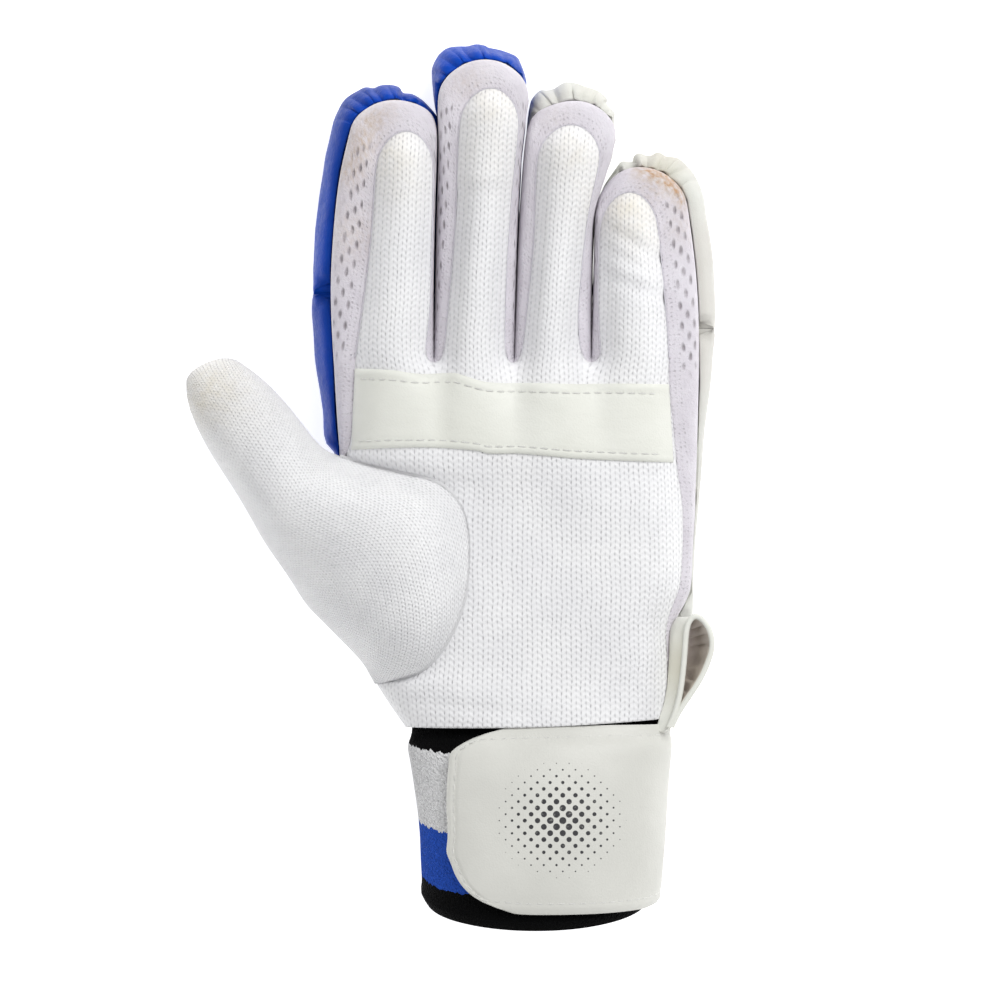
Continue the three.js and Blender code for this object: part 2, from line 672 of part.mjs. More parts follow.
// The thumb's tip: the back row hangs just under the front row
const tipBack = thumbBack[0];
tipBack.slice(1, -1).forEach((id, i) => {
  const at = ((i + 1) / thumbBackCells) * thumbFrontCells;
  const [low, high] = [thumbFront[0][Math.floor(at)], thumbFront[0][Math.ceil(at)]];
  const point = skin.points[low].clone().lerp(skin.points[high], at - Math.floor(at));
  skin.points[id].copy(point).z -= gap * 2;
});

for (let i = 1; i < thumbFront.length; i += 1) {
  skin.strip('thumb_knit', thumbFront[i], thumbFront[i - 1]);
  skin.strip('thumb_knit', thumbBack[i - 1], thumbBack[i]);
}
const lastFront = thumbFront.at(-1);
const lastBack = thumbBack.at(-1);
skin.strip('thumb_knit', endFront, lastFront);
skin.strip('thumb_knit', lastBack, endBack);

// Closes the thumb's tip between the front row and the back row
{
  const [front, back] = [thumbFront[0], tipBack];
  const ratio = thumbFrontCells / thumbBackCells;
  for (let cell = 0; cell < thumbFrontCells; cell += 1) {
    const [a, b] = [Math.round(cell / ratio), Math.round((cell + 1) / ratio)];
    skin.quad('thumb_knit', front[cell], front[cell + 1], back[b], back[a]);
  }
}

// The palm's lower left corner goes round the side down to the sheet

const skirt = [cornerRow, cornerRow + 1, cornerRow + 2].map((order) => {
  const top = palmIds[order][0];
  const foot = order === cornerRow ? cornerFoot : skin.add(backLeft[order].x, backLeft[order].y, skinLevel);
  skin.upright.add(foot);
  return [top, foot];
});
for (let i = 1; i < skirt.length; i += 1) {
  skin.strip('palm_knit', skirt[i].toReversed(), skirt[i - 1].toReversed());
}

const normals = skin.normals();
const part = new THREE.Group();

function addMesh(name, geometry, material) {
  const mesh = new THREE.Mesh(geometry, material);
  mesh.name = name;
  part.add(mesh);
}

addMesh('palm_knit', skin.solid(skin.pieces.get('palm_knit'), normals, knitWall), finishes.knit);
addMesh('thumb_knit', skin.solid(skin.pieces.get('thumb_knit'), normals, knitWall), finishes.knit);
for (const name of fingerNames) {
  const piece = `gusset_${name}`;
  addMesh(piece, skin.solid(skin.pieces.get(piece), normals, knitWall), finishes.mesh);
}

// Palm patch, a coated strip sewn over the knit

{
  const quads = [];
  for (let row = patchRows[0] + 1; row <= patchRows[1]; row += 1) {
    for (let i = 0; i < root.length - 1; i += 1) {
      quads.push([palmIds[row][i], palmIds[row][i + 1], palmIds[row - 1][i + 1], palmIds[row - 1][i]]);
    }
  }
  const rise = patch.clearance + patch.thickness;
  addMesh('palm_patch', skin.solid(quads, normals, patch.thickness, rise), finishes.whiteCoated);
}

// Back sheet: a flat sheet with the outline of the gussets' feet

function footPoint(id) {
  const point = skin.points[id];
  return new THREE.Vector3(point.x, point.y, 0);
}

{
  const right = rightColumns.map((column) => footPoint(column[2]));
  const left = backLeft.map((point) => new THREE.Vector3(point.x, point.y, 0)).reverse();
  const outline = [...left];
  fingerNames.forEach((name, order) => {
    if (order > 0) outline.push(footPoint(slitColumns[order][2]));
    outline.push(...edgeLines[name].map((point) => new THREE.Vector3(point.x, point.y, 0)));
  });
  outline.push(...right);
  outline.reverse();
  const bottom = roll.height + gap;
  addMesh('back_sheet', stack([atLevel(outline, bottom), atLevel(outline, backLevel)]), finishes.whiteCoated);
}

// Foam rolls. Each is a stack of outlines: flat foot, round side, lip round the sheet, seat.

/** Outline points of a lobe from a share of the finger's length up, round its tip and down. */
function lobeOutline(finger, kind, from, body, capCells) {
  const [start] = finger.tips[kind];
  const left = [];
  const right = [];
  for (let i = 0; i <= body; i += 1) {
    const sides = lobeSides(finger, kind, lerp(from, start, i / body));
    left.push(new THREE.Vector3(sides.left, sides.y, 0));
    right.push(new THREE.Vector3(sides.right, sides.y, 0));
  }
  const arc = [];
  const [, tip] = finger.tips[kind];
  const rise = (tip - start) * finger.length;
  const [a, b] = [left.at(-1), right.at(-1)];
  for (let i = 1; i < capCells; i += 1) {
    const angle = Math.PI * (1 - i / capCells);
    arc.push(new THREE.Vector3(
      (a.x + b.x) / 2 + ((b.x - a.x) / 2) * Math.cos(angle) + finger.lean * rise * Math.sin(angle),
      a.y + rise * Math.sin(angle),
      0,
    ));
  }
  return [...left, ...arc, ...right.reverse()].reverse();
}

/** The point of a closed outline that lies nearest to a place. */
function nearest(outline, place) {
  let best = null;
  outline.forEach((a, i) => {
    const line = new THREE.Line3(a, outline[(i + 1) % outline.length]);
    const point = line.closestPointToPoint(place, true, new THREE.Vector3());
    if (!best || point.distanceTo(place) < best.distanceTo(place)) best = point;
  });
  return best;
}

/** Where the side stands out of the sheet, the seat's edge follows the sheet's edge. */
function seatOutline(side, edge, ends) {
  const centre = centreOf(edge);
  const reach = side.map((point, i) => {
    const close = nearest(edge, point);
    const outwards = point.clone().sub(close);
    const free = outwards.dot(point.clone().sub(centre)) > 0 && !ends.has(i) ? outwards.length() : 0;
    return { close, outwards: outwards.normalize(), free };
  });
  return side.map((point, i) => {
    const { close, outwards, free } = reach[i];
    const around = [reach.at(i - 1), reach[i], reach[(i + 1) % reach.length]].map((item) => item.free);
    const least = Math.min(...around);
    const lift = roll.lip * THREE.MathUtils.smoothstep(least, roll.lipFrom, roll.lipFrom + 2.5);
    if (free < roll.lipFrom) return { point: nearest(grow(side, -roll.round), point), lift: 0 };
    return { point: close.clone().addScaledVector(outwards, roll.lipGap), lift };
  });
}

function centreOf(outline) {
  const sum = new THREE.Vector3();
  outline.forEach((point) => sum.addScaledVector(point, 1 / outline.length));
  return sum;
}

/** Builds a roll from its side outline and the outline of the sheet that it carries. */
function rollSolid(side, edge, ends, scallop) {
  const seat = seatOutline(side, edge, ends);
  const gathered = grow(side, -1).map((point, i) => side[i].clone().lerp(point, scallop[i] * roll.gather));
  const ring = (share, base, rise) => seat.map(({ point, lift }, i) => {
    const place = gathered[i].clone().lerp(point, share);
    place.z = roll.height * base + lift * rise;
    return place;
  });
  return stack([
    atLevel(grow(side, -roll.foot), 0),
    atLevel(grow(side, -roll.round), roll.height * 0.17),
    atLevel(gathered, roll.height * 0.5),
    ring(0.12, 0.86, 0),
    ring(0.55, 0.95, 1.2),
    ring(0.96, 0.98, 0.6),
    ring(1, 1, 0),
  ]);
}

const rollColours = { index: 'blueCoated', middle: 'blueCoated', ring: 'whiteCoated', little: 'whiteCoated' };
const rollCap = 12;
const rollBody = 5;
for (const name of fingerNames) {
  const finger = fingers[name];
  const side = lobeOutline(finger, 'pad', finger.fold, rollBody, rollCap);
  const edge = edgeLines[name].map((point) => new THREE.Vector3(point.x, point.y, 0));
  const scallop = side.map((_, i) => {
    const place = i - rollBody - 1;
    return place > 0 && place < rollCap - 1 && place % 2 === 0 ? 1 : 0;
  });
  const ends = new Set([0, side.length - 1]);
  addMesh(`finger_roll_${name}`, rollSolid(side, edge, ends, scallop), finishes[rollColours[name]]);
}

/** The sheet's edge at a height, on the left or on the right of the hand. */
function sheetEdge(y, onRight) {
  const finger = onRight ? fingers.little : fingers.index;
  if (y > 0) {
    const sides = lobeSides(finger, 'edge', y / finger.length);
    return onRight ? sides.right : sides.left;
  }
  const rows = palmRows.map((row) => (onRight ? [row[3], row[6]] : [row[5], row[4]]));
  const first = lobeSides(finger, 'edge', 0);
  rows.unshift([0, (onRight ? first.right : first.left) / palm.width]);
  return sample(rows, -y / palm.length)[1] * palm.width;
}

for (const name of fingerNames) {
  const rows = handRolls[name];
  const top = fingers[name].fold * fingers[name].length - foldGap;
  const bottom = -rows.at(-1)[0] * palm.length;
  const count = 8;
  const left = [];
  const right = [];
  const sheetLeft = [];
  const sheetRight = [];
  for (let i = 0; i <= count; i += 1) {
    const y = lerp(top, bottom, i / count);
    const [, l, r] = sample(rows, -y / palm.length).map((value) => value * palm.width);
    left.push(new THREE.Vector3(l, y, 0));
    right.push(new THREE.Vector3(r, y, 0));
    sheetLeft.push(new THREE.Vector3(name === 'index' ? sheetEdge(y, false) : l - 1, y, 0));
    sheetRight.push(new THREE.Vector3(name === 'little' ? sheetEdge(y, true) : r + 1, y, 0));
  }
  const side = [...left, ...right.reverse()];
  const edge = [...sheetLeft, ...sheetRight.reverse()];
  const ends = new Set([0, count, count + 1, 2 * count + 1]);
  addMesh(`hand_roll_${name}`, rollSolid(side, edge, ends, side.map(() => 0)), finishes[rollColours[name]]);
}

// Thumb rolls lie under the thumb, outside its back

thumbPadRows.forEach(([first, last], order) => {
  const quads = [];
  for (let row = Math.max(first, 1) + 1; row <= last; row += 1) {
    for (let cell = 1; cell < thumbBackCells - 1; cell += 1) {
      quads.push([
        thumbBack[row - 1][cell], thumbBack[row - 1][cell + 1],
        thumbBack[row][cell + 1], thumbBack[row][cell],
      ]);
    }
  }
  const sides = new Set(thumbBack.flatMap((row) => [row[1], row[thumbBackCells - 1]]));
  const share = (id) => (sides.has(id) ? thumb.padEdge : 1);
  const geometry = skin.solid(quads, normals, -thumb.padThickness, thumb.padGap, share);
  addMesh(`thumb_roll_${order + 1}`, geometry, finishes.blueCoated);
});

// Cuff, strap and loop

/** A point of the cuff at an angle in degrees and a place down from the palm, grown by offset. */
function cuffPoint(angle, down, offset) {
  const [, left, right, bottom, top] = sample(cuffRows, down);
  const half = ((right - left) / 2) * palm.width + offset;
  const high = cuff.floor + top * cuff.depth;
  const low = cuff.floor + bottom * cuff.depth;
  return new THREE.Vector3(
    ((left + right) / 2) * palm.width + half * Math.cos(rad(angle)),
    -palm.length - down * cuff.length,
    (high + low) / 2 + ((high - low) / 2 + offset) * Math.sin(rad(angle)),
  );
}

/** Joins rings of outer and inner points to a tube with open ends. */
function tube(rings) {
  const count = rings[0].outer.length;
  const points = rings.flatMap(({ outer, inner }) => [...outer, ...inner]);
  const triangles = [];
  const put = (a, b, c, d) => triangles.push([a, b, c], [a, c, d]);
  for (let i = 0; i < count; i += 1) {
    const j = (i + 1) % count;
    for (let ring = 1; ring < rings.length; ring += 1) {
      const [a, b] = [(ring - 1) * 2 * count, ring * 2 * count];
      put(a + i, b + i, b + j, a + j);
      put(a + count + j, b + count + j, b + count + i, a + count + i);
    }
    const end = (rings.length - 1) * 2 * count;
    put(j, count + j, count + i, i);
    put(end + i, end + count + i, end + count + j, end + j);
  }
  return toGeometry(points, triangles);
}

{
  const centre = cuff.floor + cuff.depth / 2;
  const rings = cuffRows.map(([down], order) => {
    const hem = order === cuffRows.length - 1;
    const outer = [];
    const inner = [];
    for (let i = cuff.sides - 1; i >= 0; i -= 1) {
      const angle = (360 * i) / cuff.sides;
      const shift = (cuff.tilt * (cuffPoint(angle, 1, 0).z - centre)) / cuff.length;
      const place = hem ? 1 + shift : down;
      outer.push(cuffPoint(angle, place, 0));
      inner.push(cuffPoint(angle, place, -cuff.wall));
    }
    return { outer, inner };
  });
  addMesh('cuff', tube(rings), finishes.towelling);
}

{
  const rows = [];
  const knots = cuffRows.slice(2, -1).map(([down]) => down);
  const cells = knots.length + 1;
  for (let i = 0; i <= strap.sections; i += 1) {
    const turn = i < 4 ? strapRows[i][0] : lerp(0.13, 1, (i - 4) / (strap.sections - 4));
    const angle = lerp(strap.start, strap.end, turn);
    const [, top, bottom] = sample(strapRows, turn);
    const outer = [];
    const inner = [];
    for (let cell = 0; cell <= cells; cell += 1) {
      const [low, high] = [top + cell * strap.step, bottom - (cells - cell) * strap.step];
      const down = cell === cells ? bottom : clamp(cell === 0 ? top : knots[cell - 1], low, high);
      inner.push(cuffPoint(angle, down, strap.clearance));
      outer.push(cuffPoint(angle, down, strap.clearance + strap.thickness));
    }
    rows.push([...outer, ...inner.reverse()]);
  }
  const count = rows[0].length;
  const points = rows.flat();
  const triangles = [];
  for (let i = 1; i < rows.length; i += 1) {
    for (let k = 0; k < count; k += 1) {
      const [a, b] = [(i - 1) * count + k, (i - 1) * count + ((k + 1) % count)];
      triangles.push([a, b, b + count], [a, b + count, a + count]);
    }
  }
  const end = (rows.length - 1) * count;
  for (let cell = 0; cell < cells; cell += 1) {
    const [a, b, c, d] = [cell, cell + 1, count - 2 - cell, count - 1 - cell];
    triangles.push([a, c, b], [a, d, c]);
    triangles.push([end + a, end + b, end + c], [end + a, end + c, end + d]);
  }
  addMesh('strap', toGeometry(points, triangles), finishes.whiteCoated);
}

{
  const corner = new THREE.Vector2(sheetEdge(-0.965 * palm.length, true) + 1.7, -0.972 * palm.length);
  const place = ([x, y]) => new THREE.Vector2(corner.x + x * loop.width, corner.y + y * loop.length);
  const shape = new THREE.Shape(loopOutline.map(place));
  shape.holes.push(new THREE.Path(loopOpening.map(place)));
  const geometry = new THREE.ExtrudeGeometry(shape, { depth: loop.depth, steps: 1, bevelEnabled: false });
  geometry.translate(0, 0, loop.level);
  addMesh('side_loop', geometry, finishes.whiteCoated);
}

// The origin is the middle of the part's footprint, on the floor

const box = new THREE.Box3().setFromObject(part);
part.position.set(-(box.min.x + box.max.x) / 2, -(box.min.y + box.max.y) / 2, -box.min.z);

export default part;
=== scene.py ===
"""A padded batting glove for the left hand, palm up on a pale floor.

Lengths in the tables are millimetres in the glove's own axes: X across the palm, Y towards the
fingertips, Z out of the palm. The place() function turns them into metres in the shared frame.
"""

from __future__ import annotations

import logging
import math
from dataclasses import dataclass, field
from enum import Enum
from typing import Callable, Sequence

import bmesh
import bpy
from mathutils import Matrix, Vector, noise
from mathutils.bvhtree import BVHTree

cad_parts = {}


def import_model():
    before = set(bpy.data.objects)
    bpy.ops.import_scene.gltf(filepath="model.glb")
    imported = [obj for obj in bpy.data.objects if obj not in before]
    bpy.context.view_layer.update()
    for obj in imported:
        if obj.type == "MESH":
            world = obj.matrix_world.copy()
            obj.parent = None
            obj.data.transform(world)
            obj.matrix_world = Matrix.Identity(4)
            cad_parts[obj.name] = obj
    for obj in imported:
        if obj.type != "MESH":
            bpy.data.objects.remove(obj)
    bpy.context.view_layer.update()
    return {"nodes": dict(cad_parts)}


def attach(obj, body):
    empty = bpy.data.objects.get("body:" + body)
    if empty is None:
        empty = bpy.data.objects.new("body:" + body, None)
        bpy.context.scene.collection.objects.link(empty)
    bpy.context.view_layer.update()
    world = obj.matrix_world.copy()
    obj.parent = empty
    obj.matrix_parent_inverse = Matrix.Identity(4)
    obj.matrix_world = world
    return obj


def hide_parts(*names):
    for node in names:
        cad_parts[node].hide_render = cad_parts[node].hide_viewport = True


log = logging.getLogger("batting_glove")

MM = 0.001
ORIGIN = Vector((18.770, 36.348, 0.0))
Table = Sequence[Sequence[float]]
Pair = tuple[float, float]
Colour = tuple[float, float, float, float]
Socket = bpy.types.NodeSocket
Material = bpy.types.Material
GridPoint = tuple[Vector, Pair]


def place(x: float, y: float, z: float) -> Vector:
    """Turn a point of the glove's own axes in millimetres into a frame point in metres.

    Args:
        x: Millimetres across the palm.
        y: Millimetres towards the fingertips.
        z: Millimetres over the floor.

    Returns:
        The point in metres.
    """
    return (Vector((x, y, z)) + ORIGIN) * MM


def lerp(a: float, b: float, share: float) -> float:
    """Return the value a share of the way from a to b."""
    return a + (b - a) * share


def clamp(value: float, low: float = 0.0, high: float = 1.0) -> float:
    """Return the value held between low and high."""
    return max(low, min(high, value))


def ease(value: float, low: float = 0.0, high: float = 1.0) -> float:
    """Return a smooth step from 0 at low to 1 at high."""
    t = clamp((value - low) / (high - low))
    return t * t * (3 - 2 * t)


def dome(v: float) -> float:
    """Return the height of a half circle at v, which runs from -1 to 1."""
    return math.sqrt(max(0.0, 1 - v * v))


def bracket(rows: Table, at: float) -> tuple[int, float]:
    """Find the rows on both sides of a place.

    Args:
        rows: The table, with a first column that rises.
        at: The place in its first column.

    Returns:
        The number of the row before it, and the share of the way to the next row.
    """
    low = 0
    while low < len(rows) - 2 and rows[low + 1][0] < at:
        low += 1
    return low, clamp((at - rows[low][0]) / (rows[low + 1][0] - rows[low][0]))


def sample(rows: Table, at: float) -> list[float]:
    """Interpolate every column of a table at a place in its first column."""
    low, share = bracket(rows, at)
    return [lerp(x, y, share) for x, y in zip(rows[low], rows[low + 1])]


def curve_sample(rows: Table, at: float) -> list[float]:
    """Interpolate a table with a smooth curve through its rows.

    Args:
        rows: The table, with a first column that rises.
        at: The place in its first column.

    Returns:
        One row of interpolated values.
    """
    low, t = bracket(rows, at)
    a, b = rows[low], rows[low + 1]
    before, after = rows[max(low - 1, 0)], rows[min(low + 2, len(rows) - 1)]
    span = b[0] - a[0]
    values = []
    for p, x, y, n in zip(before, a, b, after):
        start = (y - p) / max(b[0] - before[0], 1e-6) * span
        end = (n - x) / max(after[0] - a[0], 1e-6) * span
        values.append(
            (2 * t**3 - 3 * t**2 + 1) * x + (t**3 - 2 * t**2 + t) * start
            + (3 * t**2 - 2 * t**3) * y + (t**3 - t**2) * end
        )
    return values


# Finishes


def colour(code: str) -> Colour:
    """Turn an sRGB hex colour into the linear colour that a shader reads.

    Args:
        code: The colour, as # and six digits.

    Returns:
        Red, green, blue and 1.
    """
    channels = [int(code[i : i + 2], 16) / 255 for i in (1, 3, 5)]
    linear = [c / 12.92 if c <= 0.04045 else ((c + 0.055) / 1.055) ** 2.4 for c in channels]
    return (linear[0], linear[1], linear[2], 1.0)


class Recipe:
    """The node tree of one material while it is being made."""

    def __init__(self, name: str) -> None:
        """Start a material with an empty tree.

        Args:
            name: The material's name.
        """
        self.material = bpy.data.materials.new(name)
        self.material.use_nodes = True
        self.tree = self.material.node_tree
        self.tree.nodes.clear()

    def add(self, kind: str, *inputs: object, out: int = 0, sockets: dict[int, object] | None = None,
            **settings: object) -> Socket:
        """Add a node, set it and link it.

        Args:
            kind: The node's type after the word ShaderNode.
            inputs: Values or sockets for its inputs in order. None leaves one as it is.
            out: The output to hand back.
            sockets: Values or sockets for inputs by number.
            settings: Properties of the node. A key with a capital names an input.

        Returns:
            The output socket.
        """
        node = self.tree.nodes.new("ShaderNode" + kind)
        for key, value in settings.items():
            if key[0].islower():
                setattr(node, key, value)
        named = {key.replace("_", " "): value for key, value in settings.items() if key[0].isupper()}
        for key, value in [*enumerate(inputs), *(sockets or {}).items(), *named.items()]:
            if value is None:
                continue
            if isinstance(value, Socket):
                self.tree.links.new(value, node.inputs[key])
            else:
                node.inputs[key].default_value = value
        return node.outputs[out] if len(node.outputs) else None

    def ramp(self, factor: Socket, stops: Sequence[tuple[float, str]]) -> Socket:
        """Colour a factor.

        Args:
            factor: The factor.
            stops: Places from 0 to 1, each with its hex colour.

        Returns:
            The colour's socket.
        """
        socket = self.add("ValToRGB", factor)
        ramp = socket.node.color_ramp
        for i, (at, code) in enumerate(stops):
            stop = ramp.elements[i] if i < 2 else ramp.elements.new(at)
            stop.position = at
            stop.color = colour(code)
        return socket

    def wander(self, where: Socket, scale: float, reach: Sequence[float]) -> Socket:
        """Let a pattern's rows wander a little, as knitted rows do.

        Args:
            where: The pattern's coordinates, in millimetres.
            scale: The scale of the noise.
            reach: How far the rows may move along each axis.

        Returns:
            The moved coordinates.
        """
        drift = self.add("TexNoise", Vector=where, Scale=scale, Detail=2.0, out=1)
        moved = self.add("VectorMath", drift, (0.5, 0.5, 0.5), operation="SUBTRACT")
        moved = self.add("VectorMath", moved, reach, operation="MULTIPLY")
        return self.add("VectorMath", where, moved, operation="ADD")

    def blotch(self, tone: Socket, where: Socket, scale: float, least: float, most: float,
               tints: tuple[str, str]) -> Socket:
        """Tint a cloth's colour with blotches where it is stained.

        Args:
            tone: The clean colour.
            where: The cloth's coordinates, in millimetres.
            scale: The scale of the blotches.
            least: How much of the stain the lightest blotch takes.
            most: How much the darkest one takes.
            tints: The hex colours of a half and a full stain.

        Returns:
            The tinted colour.
        """
        stain = self.add("Attribute", attribute_name="stain", out=2)
        blot = self.add("TexNoise", Vector=where, Scale=scale, Detail=4.0)
        blot = self.add("MapRange", blot, 0.3, 0.7, least, most)
        blot = self.add("Math", blot, stain, operation="MULTIPLY", use_clamp=True)
        worn = self.ramp(blot, ((0.0, "#ffffff"), (0.5, tints[0]), (1.0, tints[1])))
        return self.add("Mix", 1.0, data_type="RGBA", blend_type="MULTIPLY", out=2,
                        sockets={6: tone, 7: worn})

    def finish(self, base: Socket, height: Socket, depth: float,
               roughness: Socket | float, **values: object) -> Material:
        """Join colour, relief and gloss in the shader.

        Args:
            base: The colour.
            height: The relief from 0 to 1.
            depth: The relief's real depth in metres.
            roughness: A socket or a number.
            values: Constants for the shader's own sockets.

        Returns:
            The finished material.
        """
        bump = self.add("Bump", Strength=1.0, Distance=depth, Height=height)
        shader = self.add("BsdfPrincipled", Base_Color=base, Roughness=roughness, Normal=bump)
        for key, value in values.items():
            shader.node.inputs[key.replace("_", " ")].default_value = value
        self.add("OutputMaterial", shader)
        return self.material


@dataclass(frozen=True)
class KnitFinish:
    """White cotton jersey: matt, soft, in rows of small loops with pinholes between the wales."""

    name: str = "cotton_jersey_knit"
    wale: float = 2.86
    course: float = 1.8
    base: str = "#f1f1f2"
    shade: str = "#e9e9eb"
    pinhole_shade: str = "#acacb0"
    aged: str = "#f3eee2"
    stain: str = "#e6d8bd"

    def make(self) -> Material:
        """Build the jersey from its UV map, which is in millimetres.

        Returns:
            The material.
        """
        r = Recipe(self.name)
        uv = r.add("UVMap", uv_map="cloth")
        moved = r.wander(uv, 0.11, (1.5, 1.0, 0.0))
        across = r.add("SeparateXYZ", moved)
        along = across.node.outputs[1]
        wale = r.add("Math", across, self.wale, operation="DIVIDE")
        wale = r.add("Math", wale, operation="FRACT")
        wale = r.add("Math", wale, 0.5, operation="SUBTRACT")
        wale = r.add("Math", wale, operation="ABSOLUTE")
        side = r.add("Math", wale, 2.0, operation="MULTIPLY")
        course = r.add("Math", along, self.course, operation="DIVIDE")
        # Each stitch leans, so that a wale shows a row of small chevrons
        lean = r.add("Math", side, 0.55, course, operation="MULTIPLY_ADD")
        turn = r.add("Math", lean, 2 * math.pi, operation="MULTIPLY")
        loop = r.add("Math", turn, operation="SINE")
        loop = r.add("MapRange", loop, -1.0, 1.0, 0.0, 1.0)
        # Painted shade: the grooves between the wales and the pinholes in their middle darken in short dashes
        # along each column
        groove = r.add("MapRange", side, 0.78, 1.0, 0.0, 0.85, interpolation_type="SMOOTHSTEP")
        middle = r.add("MapRange", side, 0.22, 0.0, 0.0, 0.62, interpolation_type="SMOOTHSTEP")
        column = r.add("Math", groove, middle, operation="MAXIMUM")
        dark = r.add("Math", loop, 1.3, operation="POWER")
        dark = r.add("MapRange", dark, 0.0, 1.0, 0.18, 1.0)
        shaded_hole = r.add("Math", dark, column, operation="MULTIPLY")
        patchy = r.add("TexNoise", Vector=uv, Scale=0.35, Detail=3.0)
        amount = r.add("MapRange", patchy, 0.3, 0.7, 0.3, 0.85)
        shaded_hole = r.add("Math", shaded_hole, amount, operation="MULTIPLY")
        tone = r.add("TexNoise", Vector=uv, Scale=0.045, Detail=3.0)
        tone = r.ramp(r.add("MapRange", tone, 0.35, 0.65), ((0.0, self.shade), (1.0, self.base)))
        # The legs of the chevrons catch the light and the turns between them stay greyer
        leg = r.add("MapRange", loop, 0.0, 1.0, 1.0, 0.965)
        tone = r.add("VectorMath", tone, operation="SCALE", Scale=leg)
        base = r.blotch(tone, uv, 0.22, 0.5, 1.15, (self.aged, self.stain))
        # The pinholes and grooves are mixed towards the grey of their painted shade
        base = r.add("Mix", shaded_hole, data_type="RGBA", out=2, sockets={6: base, 7: colour(self.pinhole_shade)})
        thread = r.add("TexNoise", Vector=uv, Scale=3.2, Detail=2.0)
        height = r.add("Math", shaded_hole, -0.8, 0.8, operation="MULTIPLY_ADD")
        rib = r.add("Math", loop, -0.22, height, operation="MULTIPLY_ADD")
        height = r.add("Math", thread, 0.16, rib, operation="MULTIPLY_ADD")
        return r.finish(base, height, 0.0005, 0.92, Sheen_Weight=0.25, Sheen_Roughness=0.6, IOR=1.46)


@dataclass(frozen=True)
class NetFinish:
    """Airy warp-knit polyester net: matt lilac-grey, with long diamond holes and a plain band by the seam."""

    name: str = "polyester_airmesh"
    across: float = 4.4
    along: float = 5.6
    hole_width: float = 0.46
    hole_length: float = 0.95
    band: float = 3.9
    open_to: float = 10.2
    base: str = "#e2dee5"
    shade: str = "#d7d2da"
    shaded_hole: str = "#91888f"
    aged: str = "#eadfcf"
    stain: str = "#d8b083"

    def holes(self, r: Recipe, uv: Socket, shift: float) -> Socket:
        """Make one lattice of holes.

        Args:
            r: The material's recipe.
            uv: The net's coordinates.
            shift: How far the lattice is moved, as a share of the pitch.

        Returns:
            How open the net is, from 0 to 1.
        """
        cell = r.add("VectorMath", uv, (1 / self.across, 1 / self.along, 1.0), operation="MULTIPLY")
        cell = r.add("VectorMath", cell, (shift, shift, 0.0), operation="ADD")
        cell = r.add("VectorMath", cell, operation="FRACTION")
        cell = r.add("VectorMath", cell, (0.5, 0.5, 0.0), operation="SUBTRACT")
        cell = r.add("VectorMath", cell, (self.across / self.hole_width, self.along / self.hole_length, 0.0),
                     operation="MULTIPLY")
        distance = r.add("VectorMath", cell, operation="LENGTH", out=1)
        return r.add("MapRange", distance, 1.75, 0.3, 0.0, 1.0, interpolation_type="SMOOTHSTEP")

    def make(self) -> Material:
        """Build the net from its UV map: U runs from the seam outwards, V along the seam.

        Returns:
            The material.
        """
        r = Recipe(self.name)
        uv = r.add("UVMap", uv_map="cloth")
        moved = r.wander(uv, 0.16, (1.3, 1.6, 0.0))
        first = self.holes(r, moved, 0.0)
        second = self.holes(r, moved, 0.5)
        shaded_hole = r.add("Math", first, second, operation="MAXIMUM")
        seam = r.add("SeparateXYZ", uv)
        plain = r.add("MapRange", seam, self.band - 0.4, self.band + 0.5, 0.0, 1.0)
        shaded_hole = r.add("Math", shaded_hole, plain, operation="MULTIPLY")
        outer = r.add("MapRange", seam, self.open_to - 1.0, self.open_to + 1.0, 1.0, 0.12)
        shaded_hole = r.add("Math", shaded_hole, outer, operation="MULTIPLY")
        open_share = r.add("Attribute", attribute_name="open_net", out=2)
        shaded_hole = r.add("Math", shaded_hole, open_share, operation="MULTIPLY")
        # The band beside the seam is a plain knit with fine pinholes
        wale = r.add("VectorMath", moved, (1 / 1.5, 1 / 1.3, 1.0), operation="MULTIPLY")
        wale = r.add("TexVoronoi", Vector=wale, Scale=1.0, Randomness=0.3)
        pin = r.add("MapRange", wale, 0.34, 0.12, 0.0, 0.3)
        inside = r.add("Math", 1.0, plain, operation="SUBTRACT")
        pin = r.add("Math", pin, inside, operation="MULTIPLY")
        dark = r.add("Math", shaded_hole, pin, operation="MAXIMUM")
        patchy = r.add("TexNoise", Vector=uv, Scale=0.5, Detail=2.0)
        depth = r.add("MapRange", patchy, 0.3, 0.7, 0.35, 0.95)
        dark = r.add("Math", dark, depth, operation="MULTIPLY")
        tone = r.add("TexNoise", Vector=uv, Scale=0.09, Detail=3.0)
        tone = r.ramp(tone, ((0.35, self.shade), (0.65, self.base)))
        base = r.blotch(tone, uv, 0.7, 0.2, 1.2, (self.aged, self.stain))
        # Painted shade: the diamond holes and the band's pinholes are darkened towards a grey lilac, standing
        # for the shadow inside them
        base = r.add("Mix", dark, data_type="RGBA", out=2, sockets={6: base, 7: colour(self.shaded_hole)})
        thread = r.add("TexNoise", Vector=uv, Scale=1.3, Detail=4.0, Roughness=0.65)
        height = r.add("Math", dark, -0.85, 0.85, operation="MULTIPLY_ADD")
        height = r.add("Math", thread, 0.42, height, operation="MULTIPLY_ADD")
        return r.finish(base, height, 0.0011, 0.88, Sheen_Weight=0.2, Sheen_Roughness=0.5, IOR=1.46)


